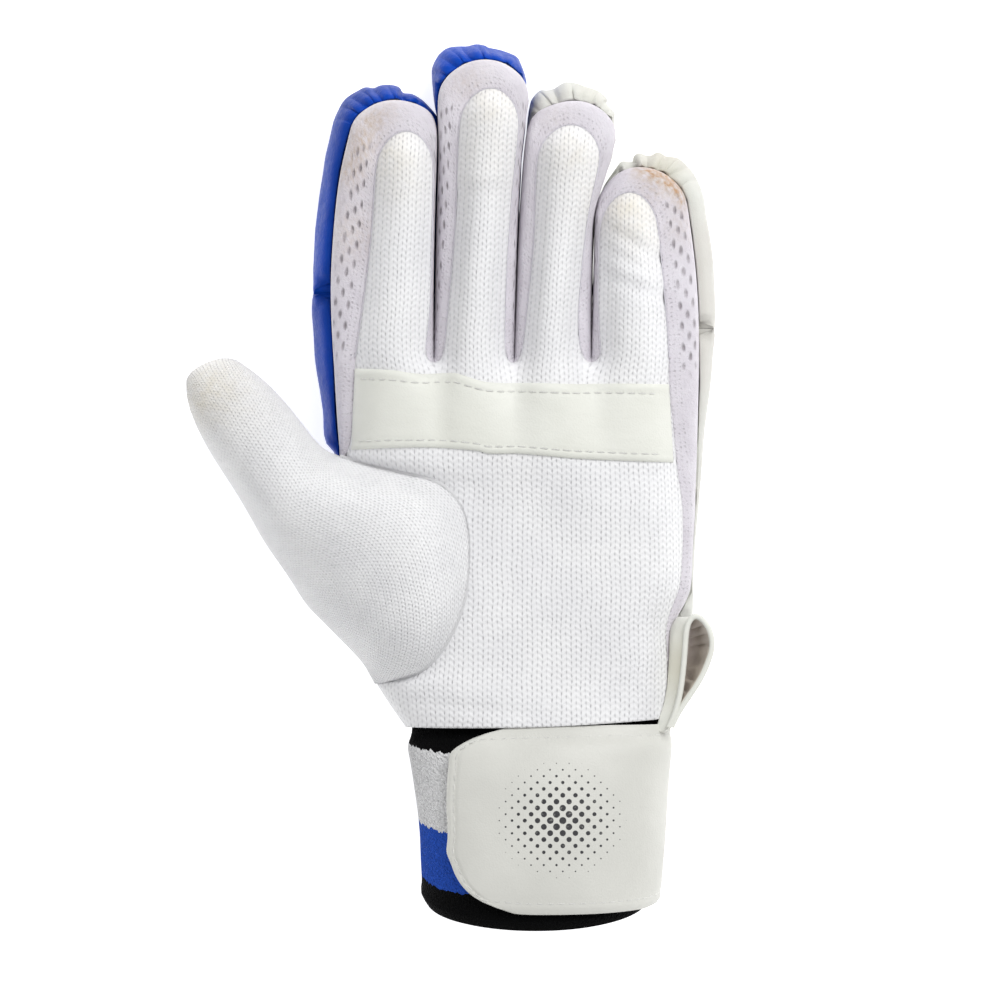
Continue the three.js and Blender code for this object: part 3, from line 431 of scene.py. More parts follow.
@dataclass(frozen=True)
class CoatedFinish:
    """Polyurethane-coated cloth: satin, with a fine pressed grain, soft creases and a slight unevenness."""

    name: str
    base: str
    shade: str
    gloss: float = 0.42
    grain: float = 0.6
    crease: float = 0.35
    shine: float = 0.35
    index: float = 1.45
    aged: str = "#ece6d4"

    def make(self) -> Material:
        """Build the coating on Object coordinates, so that it needs no seams.

        Returns:
            The material.
        """
        r = Recipe(self.name)
        where = r.add("TexCoord", out=3)
        grain = r.add("VectorMath", where, operation="SCALE", Scale=1 / (self.grain * MM))
        pebble = r.add("TexVoronoi", Vector=grain, Scale=1.0, Randomness=0.9)
        fine = r.add("TexNoise", Vector=grain, Scale=0.5, Detail=3.0)
        long_way = r.add("VectorMath", where, (1 / 0.016, 1 / 0.006, 1 / 0.009), operation="MULTIPLY")
        creases = r.add("TexNoise", Vector=long_way, Scale=1.0, Detail=2.0, Roughness=0.55)
        height = r.add("Math", creases, self.crease, operation="MULTIPLY")
        height = r.add("Math", pebble, 0.045, height, operation="MULTIPLY_ADD")
        tone = r.add("TexNoise", Vector=where, Scale=38.0, Detail=3.0)
        tone = r.ramp(tone, ((0.38, self.shade), (0.62, self.base)))
        stain = r.add("Attribute", attribute_name="stain", out=2)
        worn = r.ramp(stain, ((0.0, "#ffffff"), (1.0, self.aged)))
        base = r.add("Mix", 1.0, data_type="RGBA", blend_type="MULTIPLY", out=2, sockets={6: tone, 7: worn})
        gloss = r.add("MapRange", fine, 0.3, 0.7, self.gloss - 0.05, self.gloss + 0.09)
        return r.finish(base, height, 0.0012, gloss, IOR=self.index, Specular_IOR_Level=self.shine)


@dataclass(frozen=True)
class StrapFinish:
    """White coated cloth of the strap, with a charcoal field of printed dots that shrink towards its edge."""

    name: str = "polyurethane_strap_white"
    base: str = "#d7d7d1"
    shade: str = "#cfcfc9"
    ink: str = "#37373a"
    centre: Pair = (14.0, -134.0)
    reach: Pair = (19.0, 17.0)
    pitch: float = 2.6

    def make(self) -> Material:
        """Build the coating and its print from the UV map, which is in millimetres along the strap.

        Returns:
            The material.
        """
        r = Recipe(self.name)
        uv = r.add("UVMap", uv_map="cloth")
        where = r.add("TexCoord", out=3)
        grain = r.add("VectorMath", where, operation="SCALE", Scale=1 / (0.6 * MM))
        pebble = r.add("TexVoronoi", Vector=grain, Scale=1.0, Randomness=0.9)
        soft = r.add("TexNoise", Vector=where, Scale=70.0, Detail=2.0)
        tone = r.add("TexNoise", Vector=where, Scale=30.0, Detail=3.0)
        tone = r.ramp(tone, ((0.38, self.shade), (0.62, self.base)))
        cell = r.add("VectorRotate", uv, Angle=math.radians(45))
        cell = r.add("VectorMath", cell, operation="SCALE", Scale=1 / self.pitch)
        cell = r.add("VectorMath", cell, operation="FRACTION")
        cell = r.add("VectorMath", cell, (0.5, 0.5, 0.0), operation="SUBTRACT")
        distance = r.add("VectorMath", cell, operation="LENGTH", out=1)
        off = r.add("VectorMath", uv, (self.centre[0], self.centre[1], 0.0), operation="SUBTRACT")
        off = r.add("VectorMath", off, (1 / self.reach[0], 1 / self.reach[1], 0.0), operation="MULTIPLY")
        away = r.add("VectorMath", off, operation="LENGTH", out=1)
        radius = r.add("MapRange", away, 0.1, 1.0, 0.40, 0.05)
        rim = r.add("Math", radius, distance, operation="SUBTRACT")
        inked = r.add("MapRange", rim, -0.02, 0.03, 0.0, 1.0)
        inside = r.add("MapRange", away, 1.02, 0.99, 0.0, 1.0)
        inked = r.add("Math", inked, inside, operation="MULTIPLY")
        rubbed = r.add("MapRange", r.add("TexNoise", Vector=uv, Scale=1.1, Detail=4.0), 0.3, 0.42, 0.72, 1.0)
        inked = r.add("Math", inked, rubbed, operation="MULTIPLY")
        base = r.add("Mix", inked, data_type="RGBA", out=2, sockets={6: tone, 7: colour(self.ink)})
        gloss = r.add("MapRange", soft, 0.3, 0.7, 0.40, 0.52)
        height = r.add("Math", soft, 0.4, operation="MULTIPLY")
        height = r.add("Math", pebble, 0.04, height, operation="MULTIPLY_ADD")
        height = r.add("Math", inked, 0.03, height, operation="MULTIPLY_ADD")
        return r.finish(base, height, 0.001, gloss, IOR=1.45, Specular_IOR_Level=0.35)


@dataclass(frozen=True)
class TowellingFinish:
    """Stretch cotton towelling: dull loops of pile, knitted in bands with ragged edges."""

    name: str = "cotton_towelling_bands"
    black: str = "#070708"
    grey: str = "#f3f3f4"
    blue: str = "#2c58c4"
    edges: tuple[float, float, float] = (4.6, 26.6, 42.6)
    end: float = 70.0

    def make(self) -> Material:
        """Build the towelling from its UV map: U runs round the wrist and V down from the palm.

        Returns:
            The material.
        """
        r = Recipe(self.name)
        uv = r.add("UVMap", uv_map="cloth")
        pile = r.add("VectorMath", uv, (1.0, 1.25, 1.0), operation="MULTIPLY")
        loops = r.add("TexVoronoi", Vector=pile, Scale=0.95)
        fuzz = r.add("TexNoise", Vector=uv, Scale=1.6, Detail=4.0)
        ragged = r.add("VectorMath", uv, (0.55, 0.2, 1.0), operation="MULTIPLY")
        ragged = r.add("TexNoise", Vector=ragged, Scale=1.0, Detail=3.0)
        down = r.add("SeparateXYZ", uv, out=1)
        down = r.add("Math", ragged, 3.2, down, operation="MULTIPLY_ADD")
        down = r.add("Math", down, 1.6, operation="SUBTRACT")
        down = r.add("Math", down, self.end, operation="DIVIDE")
        first, second, third = (edge / self.end for edge in self.edges)
        bands = ((0.0, self.black), (first, self.grey), (second, self.blue), (third, self.black))
        bands = r.ramp(down, bands)
        bands.node.color_ramp.interpolation = "CONSTANT"
        # Painted shade between the loops of pile, lighter where each loop rises, with a random speckle
        shade = r.add("MapRange", loops, 0.0, 0.75, 1.05, 0.85)
        speck = r.add("MapRange", fuzz, 0.3, 0.7, 0.9, 1.06)
        shade = r.add("Math", shade, speck, operation="MULTIPLY")
        base = r.add("VectorMath", bands, operation="SCALE", Scale=shade)
        height = r.add("Math", loops, -0.9, 0.9, operation="MULTIPLY_ADD")
        height = r.add("Math", fuzz, 0.5, height, operation="MULTIPLY_ADD")
        return r.finish(base, height, 0.0012, 0.95, IOR=1.4, Specular_IOR_Level=0.12)


@dataclass(frozen=True)
class ThreadFinish:
    """Spun polyester sewing thread: a dull twist with a faint lengthwise glint."""

    name: str = "polyester_thread_white"
    base: str = "#f2f2ee"
    shade: str = "#e2e2de"

    def make(self) -> Material:
        """Build the twist from Object coordinates.

        Returns:
            The material.
        """
        r = Recipe(self.name)
        where = r.add("TexCoord", out=3)
        twist = r.add("TexWave", Vector=where, Scale=1400.0, Distortion=1.0)
        # Painted shade in the grooves of the twist, darker where the same wave presses the thread in
        base = r.ramp(twist, ((0.2, self.shade), (0.8, self.base)))
        return r.finish(base, twist, 0.0001, 0.6, IOR=1.5)


class Cloths:
    """Every material of the glove, made once."""

    def __init__(self) -> None:
        """Make the materials."""
        self.knit = KnitFinish().make()
        self.net = NetFinish().make()
        self.white = CoatedFinish("polyurethane_white", "#cfd0ca", "#c8c6c0").make()
        self.ivory = CoatedFinish("polyurethane_ivory_patch", "#e6e7e0", "#e0e1d9", gloss=0.5,
                                  crease=0.25).make()
        self.blue = CoatedFinish("polyurethane_blue", "#0c44b0", "#0a3a9a", gloss=0.38, grain=0.7, crease=0.5,
                                 shine=0.5, index=1.2, aged="#ffffff").make()
        self.backing = CoatedFinish("woven_backing_greige", "#cdc5bc", "#bab2a9", gloss=0.7,
                                    crease=0.8).make()
        self.strap = StrapFinish().make()
        self.towelling = TowellingFinish().make()
        self.thread = ThreadFinish().make()
        self.knit_seam = ThreadFinish("cotton_seam_white", "#efeff0", "#e4e4e6").make()
        self.binding = ThreadFinish("polyester_binding_lilac", "#e6e3ea", "#d6d3dc").make()


# The hand's outlines


class Line(Enum):
    """The outlines of a finger. Each value is a pair of columns in the finger's rows."""

    SEAM = (1, 2)
    EDGE = (3, 4)
    PAD = (5, 6)


PALM_WIDTH = 100.0
PALM_LENGTH = 107.0
PALM_HEIGHT = 30.0
SHEET_TOP = 18.1
SKIN_FOOT = 18.5
ROLL_HEIGHT = 15.9
THUMB_LENGTH = 48.7
SEAM_SHARE = 0.55
TIP_SEAM_SHARE = 0.42
FINGER_CELLS = 4
BODY_ROWS = 6
CAP_ROWS = 2
CAP_ANGLE = math.radians(35)

# the left seam's x and y, the right seam's, the left foot's, the right foot's x, then the heights at the
# left, the right and the top, and the sag
PALM_ROWS: Table = (
    (-0.455, 0.030, 0.455, 0.073, -0.515, 0.030, 0.541, 0.55, 0.55, 0.93, 0.011),
    (-0.463, 0.144, 0.467, 0.182, -0.509, 0.144, 0.538, 0.52, 0.55, 0.95, 0.000),
    (-0.465, 0.247, 0.478, 0.285, -0.500, 0.247, 0.535, 0.48, 0.55, 0.95, -0.003),
    (-0.496, 0.271, 0.481, 0.314, -0.499, 0.271, 0.534, 0.42, 0.55, 0.94, 0.000),
    (-0.406, 0.295, 0.487, 0.350, -0.496, 0.323, 0.532, 0.62, 0.55, 0.93, 0.000),
    (-0.296, 0.317, 0.493, 0.385, -0.490, 0.374, 0.531, 0.75, 0.55, 0.92, 0.000),
    (-0.215, 0.333, 0.496, 0.420, -0.484, 0.426, 0.531, 0.82, 0.55, 0.92, 0.000),
    (-0.157, 0.379, 0.496, 0.458, -0.478, 0.477, 0.528, 0.85, 0.55, 0.91, 0.000),
    (-0.125, 0.442, 0.496, 0.501, -0.473, 0.529, 0.525, 0.85, 0.55, 0.90, 0.000),
    (-0.119, 0.529, 0.493, 0.556, -0.465, 0.580, 0.522, 0.85, 0.55, 0.90, 0.000),
    (-0.128, 0.640, 0.490, 0.626, -0.457, 0.631, 0.521, 0.85, 0.55, 0.91, 0.000),
    (-0.157, 0.721, 0.464, 0.675, -0.447, 0.683, 0.499, 0.84, 0.55, 0.92, 0.000),
    (-0.206, 0.805, 0.444, 0.734, -0.435, 0.734, 0.457, 0.80, 0.55, 0.92, 0.000),
    (-0.267, 0.859, 0.450, 0.789, -0.422, 0.786, 0.462, 0.72, 0.56, 0.92, 0.000),
    (-0.333, 0.878, 0.452, 0.840, -0.406, 0.837, 0.465, 0.60, 0.56, 0.92, 0.000),
    (-0.400, 0.886, 0.452, 0.884, -0.389, 0.886, 0.464, 0.46, 0.58, 0.92, 0.000),
    (-0.357, 0.946, 0.449, 0.935, -0.351, 0.946, 0.460, 0.46, 0.60, 0.93, 0.008),
    (-0.313, 1.003, 0.446, 0.980, -0.307, 1.003, 0.456, 0.46, 0.60, 0.95, 0.011),
)
# left x, y, right x, y, then the heights left, right, crest and underside
THUMB_ROWS: Table = (
    (-0.667, 0.714, -0.393, 0.839, 0.60, 0.60, 0.60, 0.60),
    (-0.696, 0.625, -0.250, 0.774, 0.60, 0.60, 0.95, 0.27),
    (-0.673, 0.494, -0.119, 0.667, 0.58, 0.58, 1.07, 0.20),
    (-0.583, 0.298, 0.000, 0.536, 0.55, 0.55, 1.10, 0.18),
    (-0.476, 0.131, 0.101, 0.399, 0.50, 0.52, 1.12, 0.14),
    (-0.357, -0.054, 0.214, 0.268, 0.47, 0.47, 1.15, 0.10),
)
# left x, y, then the heights left and crest
THENAR_ROWS: Table = (
    (-0.745, 0.496, 0.45, 1.20),
    (-0.708, 0.550, 0.43, 1.22),
    (-0.670, 0.599, 0.42, 1.25),
    (-0.641, 0.642, 0.40, 1.28),
    (-0.615, 0.680, 0.40, 1.30),
    (-0.586, 0.707, 0.40, 1.30),
    (-0.554, 0.732, 0.40, 1.28),
    (-0.519, 0.762, 0.40, 1.24),
    (-0.481, 0.794, 0.40, 1.16),
    (-0.452, 0.824, 0.40, 1.02),
    (-0.426, 0.851, 0.42, 0.82),
)
# down, left, right, bottom, top
CUFF_ROWS: Table = (
    (-0.090, -0.289, 0.426, 0.238, 0.800),
    (0.045, -0.291, 0.428, 0.238, 0.804),
    (0.120, -0.301, 0.431, 0.156, 0.868),
    (0.250, -0.292, 0.426, 0.090, 0.910),
    (0.450, -0.279, 0.419, 0.045, 0.940),
    (0.700, -0.266, 0.411, 0.015, 0.972),
    (1.200, -0.255, 0.392, 0.000, 1.000),
)
INDEX_ROOT = -34.8
THUMB_ROOT = (-62.06, -40.895)
CROTCH = 3
THENAR_END = 14
CORNER = 15


@dataclass
class Finger:
    """One finger: its sizes, its rows of offsets and the ends of its outlines as shares of its length.

    Each row holds the place along, then the left and right offsets of seam, edge and pad as shares of the
    finger's width.
    """

    name: str
    length: float
    width: float
    lean: float
    slit: float
    crown: float
    seam: Pair
    edge: Pair
    pad: Pair
    fold: float
    rows: Table
    root: float = 0.0

    def ends(self, line: Line) -> Pair:
        """Return where the round cap of an outline starts and ends."""
        return {Line.SEAM: self.seam, Line.EDGE: self.edge, Line.PAD: self.pad}[line]

    def sides(self, line: Line, along: float) -> tuple[float, float, float]:
        """Find an outline's left and right sides.

        Args:
            line: The outline.
            along: The share of the finger's length.

        Returns:
            The left X, the right X and the Y.
        """
        row = sample(self.rows, along)
        middle = self.root + self.lean * along * self.length
        left, right = (middle + row[column] * self.width for column in line.value)
        return left, right, along * self.length

    def row(self, line: Line, along: float, cap: float, cells: int) -> list[Vector]:
        """Lay a row of points across the finger.

        Args:
            line: The outline that the row ends on.
            along: The share of the finger's length, below the cap.
            cap: How far the row is bent towards the round tip, from 0 to 1.
            cells: The number of cells across.

        Returns:
            The points, flat.
        """
        start, tip = self.ends(line)
        left, right, y = self.sides(line, start if cap > 0 else along)
        middle, half = (left + right) / 2, (right - left) / 2
        rise = (tip - start) * self.length
        turn = CAP_ANGLE * cap
        points = []
        for cell in range(cells + 1):
            v = 2 * cell / cells - 1
            angle = v * (math.pi / 2 - turn)
            x = lerp(v, math.sin(angle), cap)
            up = lerp(math.sin(turn), math.cos(angle), cap)
            wide = lerp(math.cos(turn), 1.0, cap) if cap > 0 else 1.0
            points.append(Vector((middle + half * x * wide + self.lean * rise * up, y + rise * up, 0.0)))
        return points

    def stations(self, line: Line) -> list[tuple[float, list[Vector]]]:
        """List the rows above the root.

        Args:
            line: The outline that the rows end on.

        Returns:
            How far each row is bent, and its points.
        """
        start, _ = self.ends(line)
        plan = [(start * i / BODY_ROWS, 0.0) for i in range(1, BODY_ROWS + 1)]
        plan += [(start, i / CAP_ROWS) for i in range(1, CAP_ROWS + 1)]
        return [(cap, self.row(line, along, cap, FINGER_CELLS)) for along, cap in plan]


def make_fingers() -> dict[str, Finger]:
    """Make the four fingers and set each beside the one before, a slit away.

    Returns:
        The fingers by name.
    """
    fingers = [
        Finger("index", 74.9, 25.5, 0.046, 0.0, 9.0,
               (0.715, 0.882), (0.859, 1.0), (0.917, 1.057), 0.24, rows=(
            (0.00, -0.420, 0.364, -0.659, 0.443, -0.869, 0.466),
            (0.10, -0.388, 0.404, -0.689, 0.440, -0.886, 0.457),
            (0.22, -0.353, 0.409, -0.726, 0.436, -0.921, 0.447),
            (0.35, -0.321, 0.401, -0.738, 0.425, -0.945, 0.434),
            (0.50, -0.290, 0.391, -0.724, 0.413, -0.931, 0.420),
            (0.65, -0.291, 0.380, -0.709, 0.408, -0.892, 0.417),
            (0.78, -0.283, 0.365, -0.662, 0.403, -0.863, 0.412),
            (0.86, -0.293, 0.354, -0.600, 0.400, -0.814, 0.404),
            (0.92, -0.300, 0.340, -0.590, 0.390, -0.784, 0.394),
        )),
        Finger("middle", 86.7, 27.0, 0.047, 1.7, 10.0,
               (0.765, 0.906), (0.860, 1.0), (0.926, 1.048), 0.224, rows=(
            (0.00, -0.333, 0.323, -0.409, 0.409, -0.419, 0.419),
            (0.10, -0.322, 0.306, -0.424, 0.400, -0.429, 0.411),
            (0.22, -0.306, 0.299, -0.441, 0.392, -0.441, 0.403),
            (0.35, -0.281, 0.298, -0.455, 0.387, -0.455, 0.398),
            (0.50, -0.275, 0.312, -0.472, 0.384, -0.471, 0.395),
            (0.65, -0.284, 0.334, -0.479, 0.386, -0.470, 0.394),
            (0.78, -0.290, 0.365, -0.500, 0.408, -0.497, 0.412),
            (0.86, -0.280, 0.360, -0.530, 0.451, -0.552, 0.414),
            (0.93, -0.290, 0.350, -0.530, 0.440, -0.590, 0.402),
        )),
        Finger("ring", 74.7, 26.4, 0.078, 0.8, 9.0,
               (0.755, 0.909), (0.843, 1.0), (0.928, 1.066), 0.221, rows=(
            (0.00, -0.341, 0.319, -0.401, 0.396, -0.390, 0.418),
            (0.10, -0.322, 0.250, -0.414, 0.385, -0.403, 0.403),
            (0.22, -0.316, 0.247, -0.430, 0.369, -0.419, 0.386),
            (0.35, -0.301, 0.248, -0.448, 0.352, -0.437, 0.363),
            (0.50, -0.302, 0.262, -0.464, 0.324, -0.453, 0.341),
            (0.60, -0.318, 0.278, -0.468, 0.313, -0.460, 0.341),
            (0.65, -0.335, 0.310, -0.470, 0.350, -0.463, 0.363),
            (0.70, -0.337, 0.345, -0.473, 0.425, -0.465, 0.407),
            (0.78, -0.339, 0.370, -0.479, 0.521, -0.467, 0.477),
            (0.86, -0.343, 0.360, -0.470, 0.516, -0.463, 0.486),
            (0.93, -0.350, 0.350, -0.470, 0.510, -0.460, 0.470),
        )),
        Finger("little", 55.4, 26.7, 0.016, 1.7, 9.0,
               (0.630, 0.874), (0.743, 1.0), (0.822, 1.068), 0.136, rows=(
            (0.00, -0.348, 0.391, -0.424, 0.707, -0.440, 0.864),
            (0.10, -0.370, 0.376, -0.429, 0.703, -0.440, 0.876),
            (0.22, -0.386, 0.355, -0.435, 0.699, -0.439, 0.882),
            (0.35, -0.395, 0.325, -0.439, 0.679, -0.432, 0.869),
            (0.50, -0.394, 0.296, -0.437, 0.649, -0.412, 0.842),
            (0.65, -0.392, 0.253, -0.437, 0.605, -0.394, 0.806),
            (0.78, -0.395, 0.235, -0.438, 0.562, -0.379, 0.752),
            (0.86, -0.398, 0.233, -0.438, 0.559, -0.376, 0.733),
            (0.92, -0.400, 0.230, -0.438, 0.556, -0.376, 0.730),
        )),
    ]
    root = INDEX_ROOT
    for before, finger in zip([None, *fingers], fingers):
        if before:
            root += before.rows[0][4] * before.width + finger.slit - finger.rows[0][3] * finger.width
        finger.root = root
    return {finger.name: finger for finger in fingers}


def share_level(share: float) -> float:
    """Turn a share of the palm's height into a level over the floor."""
    return SHEET_TOP + share * PALM_HEIGHT


@dataclass
class RootPlace:
    """A place across the finger roots.

    It holds its X and Y, its height as a share, the valley below it, its place on the cloth and its slit.
    """

    x: float
    y: float
    share: float
    valley: float
    u: float
    slit: int = 0


class Hand:
    """The points that the sewn pieces share, in millimetres."""

    def __init__(self) -> None:
        """Work out the fingers, the palm's rows and the gussets' columns."""
        self.fingers = make_fingers()
        self.names = list(self.fingers)
        self.root = self.lay_root()
        self.palm = [self.lay_palm_row(order) for order in range(len(PALM_ROWS))]
        self.fronts = {name: self.lay_front(name) for name in self.names}
        self.seams = {name: self.seam_line(name) for name in self.names}
        self.edges = {name: self.edge_line(name) for name in self.names}

    def lay_root(self) -> list[RootPlace]:
        """Lay the row at the finger roots.

        Returns:
            The places from left to right, with one in each slit.
        """
        places: list[RootPlace] = []
        for order, name in enumerate(self.names):
            finger = self.fingers[name]
            left, right, _ = finger.sides(Line.SEAM, 0.0)
            if order:
                x = (places[-1].x + left) / 2
                places.append(RootPlace(x, -2.0, SEAM_SHARE - 0.02, 0.11, x, order))
            middle = (left + right) / 2
            for cell in range(FINGER_CELLS + 1):
                v = 2 * cell / FINGER_CELLS - 1
                share = SEAM_SHARE + dome(v) * finger.crown / PALM_HEIGHT
                u = middle + v * (right - left) * 0.6
                places.append(RootPlace(lerp(left, right, cell / FINGER_CELLS), 0.0, share, 0.08 * v * v, u))
        return places

    def lay_palm_row(self, order: int) -> list[Vector]:
        """Lay one row of the palm's skin across the hand.

        Args:
            order: The row's number, from the fingers down.

        Returns:
            The row's points.
        """
        lx, ly, rx, ry, _, _, _, left, right, top, sag = PALM_ROWS[order]
        first = self.root[0].x
        width = self.root[-1].x - first
        last = PALM_ROWS[-1]
        middle = (last[0] + last[2]) / 2 * PALM_WIDTH
        half = ((last[2] - last[0]) / 2 + 0.008) * PALM_WIDTH
        fade = (1.0, 0.5, 0.2)
        points = []
        for spot in self.root:
            share = (spot.x - first) / width
            v = 2 * share - 1
            x = lerp(lx, rx, share) * PALM_WIDTH
            down = lerp(ly, ry, share) + sag * dome(v) ** 2
            edge = lerp(left, right, share)
            flank = 1 - abs(v) ** 3
            valley = spot.valley * flank * (fade[order] if order < len(fade) else 0)
            height = edge + (top - edge) * flank**0.6 - valley
            towards = (order - (len(PALM_ROWS) - 4)) / 3
            if towards > 0:
                across = (lerp(last[0], last[2], share) * PALM_WIDTH - middle) / half
                height = lerp(height, last[7] + (last[9] - last[7]) * dome(across), towards)
            points.append(Vector((x, -down * PALM_LENGTH, share_level(height))))
        return points

    def lay_front(self, name: str) -> list[list[Vector]]:
        """Lay the knit front of a finger.

        Args:
            name: The finger's name.

        Returns:
            The rows of points, from the root to the tip.
        """
        finger = self.fingers[name]
        first = self.names.index(name) * (FINGER_CELLS + 2)
        spots = self.root[first : first + FINGER_CELLS + 1]
        rows = [[Vector((spot.x, spot.y, share_level(spot.share))) for spot in spots]]
        for order, (cap, points) in enumerate(finger.stations(Line.SEAM)):
            along = (order + 1) / (BODY_ROWS + CAP_ROWS)
            edge = lerp(SEAM_SHARE, TIP_SEAM_SHARE, along**2)
            for cell, point in enumerate(points):
                v = 2 * cell / FINGER_CELLS - 1
                point.z = share_level(edge + dome(v) * dome(cap) * finger.crown / PALM_HEIGHT)
            rows.append(points)
        return rows

    def seam_line(self, name: str) -> list[Vector]:
        """Return the seam round a finger, up its left side and down its right side."""
        rows = self.fronts[name]
        return [row[0] for row in rows] + rows[-1][1:-1] + [row[-1] for row in reversed(rows)]

    def edge_line(self, name: str) -> list[Vector]:
        """Lay the gusset's foot round a finger.

        Args:
            name: The finger's name.

        Returns:
            The foot's points, in step with the seam's.
        """
        finger = self.fingers[name]
        rows = [finger.row(Line.EDGE, 0.0, 0.0, FINGER_CELLS)]
        rows += [points for _, points in finger.stations(Line.EDGE)]
        return [row[0] for row in rows] + rows[-1][1:-1] + [row[-1] for row in reversed(rows)]

    def slit_foot(self, order: int) -> tuple[Vector, Vector, float]:
        """Lay the gusset's end in a slit.

        Args:
            order: The number of the finger after the slit.

        Returns:
            The seam point, the foot and the bulge.
        """
        spot = next(spot for spot in self.root if spot.slit == order)
        after, before = self.edges[self.names[order]][0], self.edges[self.names[order - 1]][-1]
        foot = Vector(((after.x + before.x) / 2, spot.y + 1.4, 0.0))
        return Vector((spot.x, spot.y, share_level(spot.share))), foot, 0.0

    def gusset_columns(self, name: str) -> list[tuple[Vector, Vector, float]]:
        """List the columns of a finger's gusset.

        Args:
            name: The finger's name.

        Returns:
            The seam point, the foot and the bulge of each column.
        """
        order = self.names.index(name)
        columns = [(seam, foot, 1.0) for seam, foot in zip(self.seams[name], self.edges[name])]
        if order == 0:
            rows = range(CROTCH, -1, -1)
            before = [(self.palm[i][0], self.back_left(i), 0.4) for i in rows]
        else:
            before = [self.slit_foot(order)]
        if order == len(self.names) - 1:
            after = [(self.palm[i][-1], Vector((row[6] * PALM_WIDTH, -row[3] * PALM_LENGTH, 0.0)), 0.5)
                     for i, row in enumerate(PALM_ROWS)]
        else:
            after = [self.slit_foot(order + 1)]
        return before + columns + after

    def back_left(self, order: int) -> Vector:
        """Return the back sheet's left edge beside a palm row."""
        return Vector((PALM_ROWS[order][4] * PALM_WIDTH, -PALM_ROWS[order][5] * PALM_LENGTH, 0.0))


# Meshes and cloth


def add_object(name: str, data: bpy.types.ID) -> bpy.types.Object:
    """Put data in the scene as a new object.

    Args:
        name: The object's name.
        data: Its mesh, curve, lamp or camera.

    Returns:
        The object.
    """
    made = bpy.data.objects.new(name, data)
    bpy.context.scene.collection.objects.link(made)
    return made


def take_mesh(carrier: bpy.types.Object) -> bpy.types.Mesh:
    """Take an object's finished mesh and delete the object.

    Args:
        carrier: The object.

    Returns:
        The mesh.
    """
    graph = bpy.context.evaluated_depsgraph_get()
    mesh = bpy.data.meshes.new_from_object(carrier.evaluated_get(graph))
    bpy.data.objects.remove(carrier)
    return mesh


def smooth_mesh(name: str, bm: bmesh.types.BMesh) -> bpy.types.Mesh:
    """Write a surface in millimetres to a smooth mesh in the frame, and free it.

    Args:
        name: The mesh's name.
        bm: The surface.

    Returns:
        The mesh.
    """
    for vert in bm.verts:
        vert.co = place(*vert.co)
    for face in bm.faces:
        face.smooth = True
    mesh = bpy.data.meshes.new(name)
    bm.to_mesh(mesh)
    bm.free()
    return mesh


